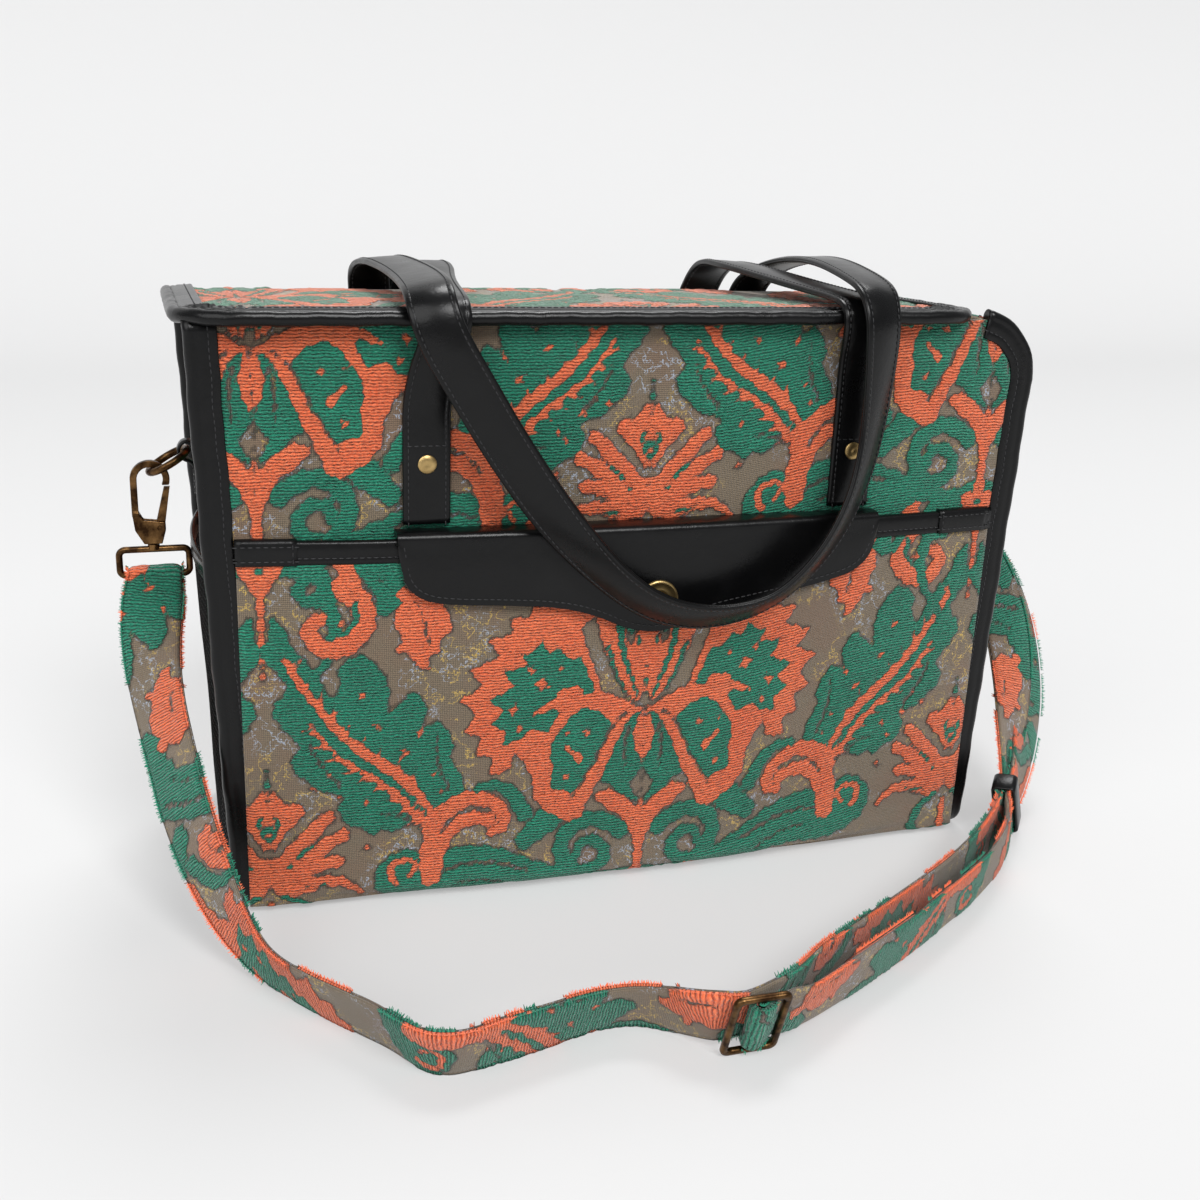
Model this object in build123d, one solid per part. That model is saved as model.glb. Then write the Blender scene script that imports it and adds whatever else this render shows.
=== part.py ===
"""Carpet bag: a boxy woven-carpet bag with a flap lid, leather trim, two handles,
a front pocket with a snap flap, mesh end pockets and a shoulder strap on snap hooks.

Millimetres. The origin is the centre of the base. X runs along the width (right is +X),
-Y is the front, +Z is up.
"""

from build123d import *
import math
import os

os.makedirs("parts", exist_ok=True)

# ---- driving sizes -------------------------------------------------------------------
top_width = 420.0          # body width at the top
base_width = 398.0         # body width at the base
body_depth = 140.0         # front to back at the side seams
body_height = 290.0        # height of the lid line at the front
shoulder_radius = 36.0     # the right end's slumped top corner
lid_drop = 6.0             # how much lower the lid is at the back
front_bulge = 4.0          # bow of the front and back carpet at mid-width
pocket_bulge = 14.0        # bow of the front pocket at mid-width
carpet = 3.0               # carpet with its backing
pocket_carpet = 2.5
lining_thickness = 1.0
board_thickness = 2.5
bottom_radius = 12.0
clearance = 0.3            # seat gap between separate pieces

end_recess = 4.0           # how far the end panels sit inside their binding
binding_width = 13.0       # leather strip on the faces beside each end
binding_leather = 1.5
bead_radius = 3.5          # rolled edge of the end bindings

lid_left = -213.0          # lid edges at the inside of the piping's centre line
lid_right = 172.0
lid_front = -80.0
lid_thickness = 4.0
lid_corner = 28.0
piping_radius = 3.5
lid_band_width = 9.0
lid_band_leather = 0.8

pocket_top = 187.0
pocket_floor = 10.0
pocket_band_height = 11.0
band_leather = 1.2

flap_half_width = 122.5
flap_top = 190.0
flap_side = 157.0          # lower edge beside the tongue
flap_tip = 138.0
flap_tongue_half = 48.0
tongue_offset = 3.5        # the tongue and its snap sit a little right of centre
flap_leather = 3.0
flap_root = 1.8

snap_height = 154.5
snap_radius = 10.0
snap_hole = 4.0
snap_thickness = 1.6
stud_radius = 2.4
stud_flange = 6.0
stud_flange_thickness = 0.9
stud_proud = 1.0

handle_width = 22.0
handle_leather = 3.2
handle_spacing = 107.0     # from mid-width to the middle of each handle leg
leg_bottom = 194.0
leg_top = 236.0            # the legs lie flat on the carpet up to here
rivet_height = 222.0
rivet_radius = 4.4
rivet_head = 1.3
shank_radius = 1.5

mesh_height = 172.0
mesh_bottom = 12.0
mesh_half_depth = 60.0
mesh_bulge = 7.0
mesh_thickness = 1.0
hem_height = 9.0
hem_thickness = 2.4

tab_height = 215.0         # height of the tab's loop above the base
tab_half_width = 3.8
tab_leather = 1.6
tab_loop = 3.0             # inside radius of the tab's loop
tab_tail = 22.0
tab_stand_off = 1.4        # room behind the loop for the leather to turn
ring_radius = 10.4         # to the middle of the wire
ring_wire = 1.8
ring_slope = 30.0          # the ring hangs this far below level

hook_gap = 0.5             # between the ring and the hook's crown
hook_inner = 6.0
hook_wire = 3.2
hook_thickness = 3.4
hook_block_thickness = 5.0
hook_length = 38.0         # crown to the foot of the block
gate_pivot = (-3.5, -30.0)
gate_thickness = 2.2
gate_pin_radius = 0.9
post_radius = 1.5
post_length = 5.0
running_fit = 0.08
eye_half_width = 16.4      # to the middle of the wire
eye_height = 13.0
eye_wire = 1.6
eye_corner = 3.0

strap_width = 30.0
strap_thickness = 3.0
strap_at_eye = 26.4
slider_place = (0.0, -240.0, 17.9)
slider_lean = 20.0         # degrees from upright, towards the front
slider_length = 23.0
slider_bar = 34.6          # between the middles of the long rails
slider_wire = 1.6
keeper_place = (219.6, -84.4, 19.2)
keeper_length = 12.0
keeper_leather = 2.0

# ---- values that follow ---------------------------------------------------------------
half_depth = body_depth / 2
taper = math.degrees(math.atan((top_width - base_width) / 2 / body_height))
lid_tilt = -math.degrees(math.atan(lid_drop / body_depth))
lid_frame = Location((0, -half_depth, body_height - lid_thickness), (lid_tilt, 0, 0))
tall = body_height + 40
nodes = {}


# ---- shared shapes --------------------------------------------------------------------
def profile(inset, bottom):
    """Front view of the body, moved in by inset, with its foot at bottom."""
    slope = (top_width - base_width) / 2 / body_height
    foot = base_width / 2 + slope * bottom - inset
    head = top_width / 2 - inset - slope * max(inset, 0)
    top = body_height - max(inset, 0)
    outline = Polyline((-foot, bottom), (foot, bottom), (head, top), (-head, top), close=True)
    face = make_face(outline)
    corner = face.vertices().sort_by_distance((head, top, 0))[0]
    return fillet(corner, max(shoulder_radius - inset, 1.0))


def slab(sketch, y0, y1):
    """Extrude a front-view sketch from y0 to y1."""
    return extrude(Plane.XZ * sketch, amount=y1 - y0, dir=(0, 1, 0)).moved(Location((0, y0, 0)))


def bowed_face(bulge, proud, front):
    """Disc whose edge is the bowed front or back face, proud of the body by that much."""
    half = top_width / 2
    radius = (half * half + bulge * bulge) / (2 * bulge)
    centre_y = radius - half_depth - bulge
    return Pos(0, centre_y if front else -centre_y) * Circle(radius + proud)


def between_faces(front_proud, back_proud, z0, z1, bulge=front_bulge):
    """Solid between the bowed front and back faces."""
    plan = bowed_face(bulge, front_proud, True) & bowed_face(front_bulge, back_proud, False)
    return Pos(0, 0, z0) * extrude(plan, amount=z1 - z0)


def box_between(low, high):
    """Axis-aligned box from its low corner to its high corner."""
    size = [h - l for l, h in zip(low, high)]
    return Pos(*low) * Box(*size, align=(Align.MIN, Align.MIN, Align.MIN))


def below_lid(solid, gap=clearance):
    """Cut a solid off just under the lid."""
    over = box_between((-400, -300, -gap), (400, 400, 200))
    return solid - over.moved(lid_frame)


def rod(start, end, radius):
    """Round bar between two points."""
    axis = Vector(*end) - Vector(*start)
    return extrude(Plane(origin=start, z_dir=axis) * Circle(radius), amount=axis.length)


def band(stations, thickness):
    """Closed solid of a flat strap.

    Each station is (x, y, z, across x, across y, across z, width). The strap's faces are
    planar triangles between stations, so every edge meets its neighbour exactly.
    """
    centres = [Vector(*s[:3]) for s in stations]
    rings = []
    for i, station in enumerate(stations):
        ahead = centres[min(i + 1, len(centres) - 1)] - centres[max(i - 1, 0)]
        across = Vector(*station[3:6])
        across = (across - ahead * (across.dot(ahead) / ahead.dot(ahead))).normalized()
        out = ahead.cross(across).normalized() * (thickness / 2)
        side = across * (station[6] / 2)
        c = centres[i]
        rings.append([c - side - out, c + side - out, c + side + out, c - side + out])
    faces = []

    def triangle(a, b, c):
        faces.append(make_face(Polyline(a, b, c, close=True)).face())

    for ring, following in zip(rings, rings[1:]):
        for k in range(4):
            n = (k + 1) % 4
            triangle(ring[k], ring[n], following[n])
            triangle(ring[k], following[n], following[k])
    for ring in (rings[0], rings[-1]):
        triangle(ring[0], ring[1], ring[2])
        triangle(ring[0], ring[2], ring[3])
    return Solid(Shell(faces))


def mirrored(solid):
    """The same piece on the other side of the bag."""
    return mirror(solid, about=Plane.YZ)


# ---- body -----------------------------------------------------------------------------
def outer_body():
    """The bag's outer shape up to the lid, with rounded front and back bottom edges."""
    solid = between_faces(0, 0, 0, tall) & slab(profile(0, 0), -200, 200)
    edges = solid.edges().filter_by_position(Axis.Z, -0.01, 0.01).sort_by(Axis.Y)
    return fillet([edges[0], edges[-1]], bottom_radius)


def cavity(inset, foot):
    """Room inside the walls, open at the top and at both ends."""
    room = between_faces(-inset, -inset, foot, tall) & box_between((-230, -200, 0), (230, 200, tall))
    edges = room.edges().filter_by_position(Axis.Z, foot - 0.01, foot + 0.01).sort_by(Axis.Y)
    return fillet([edges[0], edges[-1]], bottom_radius - inset)


body = outer_body()
nodes["body_wrap"] = below_lid(body - cavity(carpet, carpet))

for side, name in ((-1, "left"), (1, "right")):
    outer = profile(end_recess, 0)
    inner = profile(end_recess + carpet, -20)
    sheet = (slab(outer, -200, 200) - slab(inner, -200, 200)) & cavity(carpet + clearance, carpet + clearance)
    reach = lid_right - 2 if side > 0 else top_width / 2 - 20
    near, far = sorted((side * reach, side * 260))
    sheet = sheet & box_between((near, -200, 0), (far, 200, tall))
    nodes["end_panel_" + name] = below_lid(sheet)

mouth_left = top_width / 2 - end_recess - carpet - 0.5
mouth = cavity(carpet, carpet) & box_between((-mouth_left, -200, body_height - 30), (lid_right, 200, tall))
nodes["end_panel_left"] = nodes["end_panel_left"] - mouth

binding_skin = cavity(-binding_leather, 0)
binding_core = cavity(carpet + binding_leather, carpet + binding_leather)
behind_panel = slab(profile(end_recess, -20), -200, 200) & cavity(carpet, carpet)
left_strip = make_face(Polyline(
    (-base_width / 2 - binding_leather, 0), (-base_width / 2 + binding_width, 0),
    (-top_width / 2 + binding_width, body_height), (-top_width / 2 - binding_leather, body_height), close=True))
right_strip = profile(-binding_leather, 0) - profile(binding_width, -20)
right_strip = right_strip & (Pos(lid_right + 4 + 100, tall / 2) * Rectangle(200, tall * 2))
for name, strip in (("left", left_strip), ("right", right_strip)):
    whole = (slab(strip, -200, 200) & binding_skin) - binding_core - behind_panel - body
    inner = (slab(strip, -200, 200) & cavity(carpet, carpet)) - binding_core - behind_panel
    nodes["binding_" + name] = below_lid(whole + inner)

inset = carpet + clearance
lining_outer = cavity(inset, inset) & slab(profile(end_recess + inset, -20), -200, 200)
inset = inset + lining_thickness
lining_inner = cavity(inset, inset) & slab(profile(end_recess + inset, -20), -200, 200)
lining_mouth = cavity(inset, inset) & box_between(
    (-mouth_left + clearance + 2 * lining_thickness, -200, body_height - 30), (lid_right, 200, tall))
nodes["lining"] = below_lid(lining_outer - lining_inner - lining_mouth)

board_z = carpet + clearance + lining_thickness + clearance
board_plan = RectangleRounded(base_width - 2 * (end_recess + carpet + 6), body_depth - 2 * (bottom_radius + 4), 8)
nodes["base_board"] = Pos(0, 0, board_z) * extrude(board_plan, amount=board_thickness)


# ---- lid ------------------------------------------------------------------------------
def lid_outline(inset):
    """Plan of the lid, in the lid's own frame, whose y is 0 at the body's front."""
    left, right = lid_left + inset, lid_right - inset
    front, back = lid_front + half_depth + inset, body_depth + 1.0
    face = make_face(Polyline((left, back), (left, front), (right, front), (right, back), close=True))
    corners = face.vertices().sort_by(Axis.Y)[:2]
    return fillet(corners, max(lid_corner - inset, 1.0))


lid_panel = extrude(lid_outline(piping_radius - 0.6), amount=lid_thickness)
nodes["lid_panel"] = lid_panel.moved(lid_frame)

lid_back = body_depth + 1.0
lid_path = FilletPolyline((lid_left, lid_back, 1.5), (lid_left, lid_front + half_depth, 1.5),
                          (lid_right, lid_front + half_depth, 1.5), (lid_right, lid_back, 1.5), radius=lid_corner)
piping = sweep(Plane(lid_path.position_at(0), z_dir=lid_path.tangent_at(0)) * Circle(piping_radius), lid_path)
nodes["lid_piping"] = (piping - lid_panel).moved(lid_frame)
piping_room = sweep(Plane(lid_path.position_at(0), z_dir=lid_path.tangent_at(0))
                    * Circle(piping_radius + clearance), lid_path).moved(lid_frame)
for name in ("body_wrap", "lining", "end_panel_left", "end_panel_right", "binding_left", "binding_right"):
    nodes[name] = nodes[name] - piping_room

lid_band = extrude(lid_outline(piping_radius - 0.6) - lid_outline(piping_radius + lid_band_width),
                   amount=lid_band_leather)
lid_band = lid_band & box_between((-300, -40, -1), (300, lid_back, 10))
nodes["lid_band"] = (lid_band.moved(Location((0, 0, lid_thickness))) - piping).moved(lid_frame)


# ---- front pocket ---------------------------------------------------------------------
def pocket_shell(outside, inside, z0, z1):
    """Layer in front of the body, between two distances out from the pocket's face."""
    outer = between_faces(outside, 0, z0, z1, bulge=pocket_bulge)
    inner = between_faces(inside, 0, z0 - 1, z1 + 1, bulge=pocket_bulge)
    front_half = box_between((-300, -200, z0), (300, 0, z1))
    return (outer - inner) & front_half


in_front = between_faces(clearance, 0, -1, tall)
pocket_sides = slab(profile(binding_width + clearance, -20), -200, 0)
pocket = pocket_shell(0, -pocket_carpet, pocket_floor, pocket_top)
ledge = pocket_shell(0, -30, bead_radius, pocket_floor + 2)
pocket = ((pocket + ledge) - in_front) & pocket_sides
nodes["front_pocket"] = pocket

pocket_band = pocket_shell(band_leather, -pocket_carpet - band_leather,
                           pocket_top + band_leather - pocket_band_height, pocket_top + band_leather)
nodes["pocket_binding"] = (pocket_band - pocket - in_front) & pocket_sides

flap_inner = band_leather + clearance
flap_sheet = pocket_shell(flap_inner + flap_leather, flap_inner, flap_tip - 10, flap_top + flap_root)
t, w = tongue_offset, flap_half_width
flap_points = [(-w, flap_top), (-w + 10, flap_side), (t - flap_tongue_half, flap_side - 2), (t, flap_tip),
               (t + flap_tongue_half, flap_side - 2), (w - 10, flap_side), (w, flap_top)]
flap_radii = [22.0, 60.0, 40.0, 60.0, 22.0]
flap_edge = FilletPolyline(*flap_points, radius=flap_radii, close=False)
flap_face = make_face(flap_edge + Polyline((w, flap_top), (w - 4, flap_top + flap_root),
                                           (-w + 4, flap_top + flap_root), (-w, flap_top)))
flap = flap_sheet & slab(flap_face, -200, 0)
root = between_faces(flap_inner + 0.01, 0, flap_top, flap_top + flap_root, bulge=pocket_bulge) - in_front
root = root & box_between((-w + 6, -200, flap_top), (w - 6, 0, flap_top + flap_root))
flap = flap + root

face_y = -half_depth - pocket_bulge            # the pocket's face at mid-width
flap_y = face_y - flap_inner - flap_leather
stud_base = Plane(origin=(t, face_y, snap_height), x_dir=(1, 0, 0), z_dir=(0, -1, 0))
hole = extrude(stud_base * Circle(snap_hole), amount=30)
nodes["pocket_flap"] = flap - hole

snap_plane = Plane(origin=(t, flap_y - 0.05, snap_height), x_dir=(1, 0, 0), z_dir=(0, -1, 0))
disc = extrude(snap_plane * (Circle(snap_radius) - Circle(snap_hole)), amount=snap_thickness)
nodes["snap_disc"] = fillet(disc.edges().filter_by(GeomType.CIRCLE).sort_by(Axis.Y)[:2], 0.6)
stud_length = flap_inner + flap_leather + snap_thickness + stud_proud
stud = extrude(stud_base * Circle(stud_radius), amount=stud_length)
stud = fillet(stud.edges().sort_by(Axis.Y)[0], 0.8)
nodes["snap_stud"] = stud + extrude(stud_base * Circle(stud_flange), amount=stud_flange_thickness)


# ---- handles --------------------------------------------------------------------------
def face_y_at(x):
    """Distance of the bowed back face from the middle plane, at x."""
    return half_depth + front_bulge * (1 - (x / (top_width / 2)) ** 2)


leg_y = face_y_at(handle_spacing) + clearance + handle_leather / 2
wide = handle_width

# The rear handle stands up behind the lid and falls forward over the front.
rear_handle_route = [
    (-handle_spacing, leg_y, leg_bottom, 1, 0, 0, wide), (-handle_spacing, leg_y, leg_top, 1, 0, 0, wide),
    (-handle_spacing, leg_y, 256, 1, 0, 0, wide),
    (-108, 77, 275, 1, -0.05, 0, wide), (-110, 74, 289, 1, -0.1, 0.1, wide),
    (-110, 62, 298, 0.98, -0.14, 0.1, wide), (-108, 38, 302.5, 0.97, -0.16, 0.1, wide),
    (-105, 4, 302.5, 0.96, -0.16, 0.1, wide), (-105, -34, 302.5, 0.96, -0.16, 0.15, wide),
    (-107, -66, 302.5, 0.96, -0.17, 0.2, wide), (-108, -84, 301, 0.96, -0.17, 0.2, wide),
    (-108, -94, 294, 0.96, -0.17, 0.2, wide), (-104, -97, 281, 0.96, -0.17, 0.24, wide),
    (-92, -97, 261, 0.95, -0.18, 0.26, wide),
    (-75, -96, 233, 0.93, -0.25, 0.25, wide), (-53, -98, 201, 0.85, -0.4, 0.33, wide),
    (-27, -101, 172, 0.45, -0.7, 0.55, wide), (-4, -101, 155, 0.2, -0.68, 0.7, wide),
    (19, -101, 148, -0.06, -0.67, 0.74, wide), (43, -101, 149, -0.35, -0.72, 0.6, wide),
    (64, -101, 157, -0.55, -0.76, 0.35, wide), (85, -100, 177, -0.66, -0.72, 0.2, wide),
    (100, -96, 201, -0.7, -0.7, 0.14, wide), (108, -92, 227, -0.78, -0.6, 0.1, wide),
    (109, -93, 255, -0.87, -0.48, 0.05, wide), (107, -96.5, 280, -0.93, -0.35, 0, wide),
    (106, -96, 292, -0.95, -0.3, 0, wide), (106, -88, 302, -0.96, -0.25, 0, wide),
    (108, -66, 306, -0.96, -0.27, 0, wide),
    (113, -22, 309, -0.95, -0.2, 0, wide), (116, 14, 307, -0.97, -0.1, 0, wide),
    (116, 42, 302, -1, 0, 0, wide), (115, 62, 296, -1, 0, 0, wide),
    (111, 73, 288, -1, 0, 0, wide), (108, 76.5, 276, -1, 0, 0, wide),
    (handle_spacing, leg_y, 258, -1, 0, 0, wide), (handle_spacing, leg_y, leg_top, -1, 0, 0, wide),
    (handle_spacing, leg_y, leg_bottom, -1, 0, 0, wide),
]

# The front handle stands up over the piping and falls back behind the bag.
front_handle_route = [
    (-handle_spacing, -leg_y, leg_bottom, -1, 0, 0, wide), (-handle_spacing, -leg_y, leg_top, -1, 0, 0, wide),
    (-handle_spacing, -leg_y, 250, -1, 0, 0, wide),
    (-104, -78.5, 267, -1, 0, 0, wide), (-101, -84.5, 278, -1, 0, 0, wide),
    (-100, -87, 288.5, -1, 0, 0, wide), (-100, -82, 294.6, -1, 0, 0, wide),
    (-99, -70, 296.5, -1, 0, 0, wide), (-95, -34, 297, -1, 0, 0, wide),
    (-89, 4, 297, -1, 0, 0, wide), (-83, 34, 299, -1, 0, 0, wide), (-82, 62, 299, -1, 0, 0, wide),
    (-86, 82, 291, -1, 0, 0, wide), (-90, 90, 274, -0.97, -0.2, 0, wide),
    (-97, 93, 250, -0.9, -0.4, 0, wide), (-99, 94, 224, -0.85, -0.52, -0.05, wide),
    (-92, 97, 197, -0.75, -0.63, -0.12, wide), (-77, 99, 174, -0.62, -0.74, -0.25, wide),
    (-57, 100, 157, -0.4, -0.74, -0.5, wide), (-34, 100, 149, -0.12, -0.68, -0.72, wide),
    (-10, 100, 150, 0.1, -0.67, -0.74, wide), (14, 100, 160, 0.3, -0.65, -0.7, wide),
    (36, 99, 179, 0.55, -0.6, -0.58, wide), (56, 97, 207, 0.78, -0.38, -0.45, wide),
    (72, 95, 240, 0.88, -0.22, -0.32, wide), (82, 92, 269, 0.92, -0.1, -0.26, wide),
    (86, 84, 290, 0.96, 0, -0.2, wide), (86, 66, 300, 0.99, 0, -0.1, wide),
    (86, 36, 301, 1, 0, 0, wide), (91, 4, 299.5, 1, 0, 0, wide),
    (97, -34, 297.5, 1, 0, 0, wide), (101, -70, 296.5, 1, 0, 0, wide),
    (102, -82, 294.6, 1, 0, 0, wide), (102, -87, 288.5, 1, 0, 0, wide),
    (103, -84.5, 278, 1, 0, 0, wide), (105, -78.5, 266, 1, 0, 0, wide),
    (handle_spacing, -leg_y, 250, 1, 0, 0, wide), (handle_spacing, -leg_y, leg_top, 1, 0, 0, wide),
    (handle_spacing, -leg_y, leg_bottom, 1, 0, 0, wide),
]

handles = {"rear_handle": rear_handle_route, "front_handle": front_handle_route}
rivets = []
for name, route in handles.items():
    strap = band(route, handle_leather)
    for x in (-handle_spacing, handle_spacing):
        out = 1 if name == "rear_handle" else -1
        seat = Plane(origin=(x, out * (leg_y + handle_leather / 2), rivet_height), z_dir=(0, out, 0))
        head = extrude(seat * Circle(rivet_radius), amount=rivet_head)
        head = fillet(head.edges().sort_by(Axis.Y)[-1 if out > 0 else 0], 0.9)
        shank = extrude(seat * Circle(shank_radius), amount=-(handle_leather + carpet + clearance))
        rivets.append(head + shank)
        strap = strap - extrude(seat * Circle(shank_radius + running_fit), amount=-20)
    nodes[name] = strap
nodes["handle_rivets"] = Compound(rivets)

for rivet in rivets:
    nodes["body_wrap"] = nodes["body_wrap"] - rivet


# ---- ends: mesh pockets, tabs and rings -----------------------------------------------
def end_place(solid):
    """Put a piece built on a level end (x out from the panel, z up it) on the right end."""
    return solid.moved(Location((base_width / 2 - end_recess, 0, 0), (0, taper, 0)))


def mesh_sheet(thickness, z0, z1, proud=0.0):
    """Sheet bowed out from the end panel between its two side seams."""
    radius = (mesh_half_depth ** 2 + mesh_bulge ** 2) / (2 * mesh_bulge)
    centre = Pos(mesh_bulge - radius + clearance, 0)
    plan = centre * Circle(radius + proud) - centre * Circle(radius + proud - thickness)
    sheet = Pos(0, 0, z0) * extrude(plan, amount=z1 - z0)
    return sheet & box_between((clearance, -200, z0), (60, 200, z1))


mesh = mesh_sheet(mesh_thickness, mesh_bottom, mesh_height)
hem = mesh_sheet(hem_thickness, mesh_height - hem_height, mesh_height + 0.5, 0.7) - mesh
nodes["mesh_pocket_right"] = end_place(mesh)
nodes["mesh_hem_right"] = end_place(hem)

end_x = base_width / 2 - end_recess + math.tan(math.radians(taper)) * tab_height
loop_x = end_x + clearance + tab_leather + tab_loop + tab_stand_off
loop_plane = Plane(origin=(loop_x, tab_half_width, tab_height), x_dir=(1, 0, 0), z_dir=(0, -1, 0))
loop = extrude(loop_plane * Circle(tab_loop + tab_leather), amount=2 * tab_half_width)
leaf = box_between((end_x + clearance, -tab_half_width, tab_height - tab_tail),
                   (end_x + clearance + tab_leather, tab_half_width, tab_height))
leaf = leaf + box_between((end_x + clearance + tab_leather - 0.01, -tab_half_width, tab_height - tab_tail),
                          (end_x + clearance + 2 * tab_leather, tab_half_width, tab_height - tab_loop - 0.8))
tab = loop + leaf
tab = tab - extrude(loop_plane * Circle(tab_loop), amount=2 * tab_half_width)
slit = box_between((loop_x, -9, tab_height - tab_tail - 5), (loop_x + 9, 9, tab_height - tab_loop - tab_leather))
nodes["ring_tab_right"] = tab - slit

out_x, out_z = math.cos(math.radians(ring_slope)), -math.sin(math.radians(ring_slope))
ring_seat = ring_radius - 0.3                   # the wire sits this far in from the loop's middle
ring_centre = Vector(loop_x + ring_seat * out_x, 0, tab_height + ring_seat * out_z)
ring_plane = Plane(origin=ring_centre, x_dir=(out_x, 0, out_z), z_dir=(-out_z, 0, out_x))
nodes["ring_right"] = ring_plane * Torus(ring_radius, ring_wire)

# ---- snap hook on the ring ------------------------------------------------------------
hang_x = ring_centre.X + ring_radius * out_x
crown_z = ring_centre.Z + ring_radius * out_z + ring_wire + hook_gap
hook_plane = Plane(origin=(hang_x, 0, crown_z), x_dir=(1, 0, 0), z_dir=(0, -1, 0))


def hook_slab(sketch, thickness):
    """Extrude a sketch in the hook's plane, centred on it."""
    return extrude(hook_plane * sketch, amount=thickness / 2, both=True)


hook_outer = hook_inner + hook_wire
crown = Pos(0, -hook_inner) * (Circle(hook_outer) - Circle(hook_inner))
crown = crown & (Pos(0, -hook_inner + 20) * Rectangle(60, 40) + Pos(-hook_outer, -hook_inner - 1.4)
                 * Rectangle(2 * hook_wire + 2, 3))
spine = Pos(hook_inner + hook_wire / 2, -hook_inner - 9) * Rectangle(hook_wire, 18)
block = make_face(Polyline((hook_outer, -hook_inner - 16), (hook_inner, -hook_inner - 16), (4, -26), (-6.2, -27.2),
                           (-6.2, -31), (-4.2, -hook_length), (4.2, -hook_length), (8.2, -31), close=True))
hook = hook_slab(crown + spine, hook_thickness) + hook_slab(block, hook_block_thickness)
slot = make_face(Polyline((6, -24), (-8, -24), (-8, -33.2), (-1, -33.2), (3.4, -28.5), close=True))
hook = hook - hook_slab(slot, gate_thickness + 0.4)
px, pz = gate_pivot
pin_hole = Pos(px, pz) * Circle(gate_pin_radius)
hook = hook - hook_slab(pin_hole, 20)
post_bore = extrude(Plane(origin=(hang_x, 0, crown_z - hook_length), z_dir=(0, 0, 1))
                    * Circle(post_radius + running_fit), amount=post_length)
nodes["hook_right"] = hook - post_bore

gate_top = -hook_inner - 3.9
gate = make_face(Polyline((-hook_outer + 0.2, gate_top), (-hook_inner - 0.3, gate_top), (px + 2.1, pz + 0.6),
                          (px - 2.1, pz - 0.6), close=True))
gate = gate + Pos(px, pz) * Circle(2.1) - Pos(px, pz) * Circle(gate_pin_radius + running_fit)
nodes["hook_gate_right"] = hook_slab(gate, gate_thickness)
nodes["gate_pin_right"] = hook_slab(pin_hole, hook_block_thickness)

eye_top = crown_z - hook_length - 1.4 - eye_wire
eye_plane = Plane(origin=(hang_x, 0, eye_top - eye_height / 2), x_dir=(1, 0, 0), z_dir=(0, -1, 0))
eye_outer = RectangleRounded(2 * (eye_half_width + eye_wire), eye_height + 2 * eye_wire, eye_corner + eye_wire)
eye_inner = RectangleRounded(2 * (eye_half_width - eye_wire), eye_height - 2 * eye_wire, eye_corner - eye_wire)
eye = extrude(eye_plane * (eye_outer - eye_inner), amount=eye_wire, both=True)
eye = fillet(eye.edges().filter_by(Plane.XZ), eye_wire - 0.15)
post = rod((hang_x, 0, eye_top), (hang_x, 0, crown_z - hook_length + post_length - 0.4), post_radius)
collar = rod((hang_x, 0, eye_top), (hang_x, 0, crown_z - hook_length - 0.3), post_radius + 1.3)
nodes["strap_eye_right"] = eye + post + collar

for name in ("mesh_pocket", "mesh_hem", "ring_tab", "ring", "hook", "hook_gate", "gate_pin", "strap_eye"):
    nodes[name + "_left"] = mirrored(nodes[name + "_right"])

# ---- shoulder strap -------------------------------------------------------------------
bar_z = eye_top - eye_height                   # the eye's lower bar, which carries the strap
wrap = eye_wire + clearance + strap_thickness / 2
wide = strap_width
narrow = strap_at_eye


def over_bar(side, across, forward):
    """Stations of the strap's turn over an eye's lower bar; forward is -1 if it ends in front."""
    return [(side * hang_x, -forward * wrap * math.cos(a), bar_z + wrap * math.sin(a), across, 0, 0, narrow)
            for a in (math.radians(d) for d in (0, 45, 90, 135, 180))]


lean = math.radians(slider_lean)
slider_plane = Plane(origin=slider_place, x_dir=(1, 0, 0), z_dir=(0, -math.cos(lean), -math.sin(lean)))


def by_slider(along, front):
    """Station beside the slider: along the strap, and this far in front of its bars."""
    place = slider_plane.origin + slider_plane.x_dir * along + slider_plane.z_dir * front
    return (place.X, place.Y, place.Z, 0, -math.sin(lean), math.cos(lean), wide)


tuck = slider_wire + clearance + strap_thickness / 2
keeper_plane = Plane(origin=keeper_place, x_dir=(-0.45, -0.35, 0.82), z_dir=(0.59, 0.71, 0.37))


def in_keeper(along, side):
    """Station of the inner (-1) or outer (1) layer of the strap where the keeper holds both."""
    offset = side * (strap_thickness / 2 + clearance)
    place = keeper_plane.origin + keeper_plane.z_dir * along + keeper_plane.y_dir * offset
    across = keeper_plane.x_dir
    return (place.X, place.Y, place.Z, across.X, across.Y, across.Z, wide)


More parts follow.
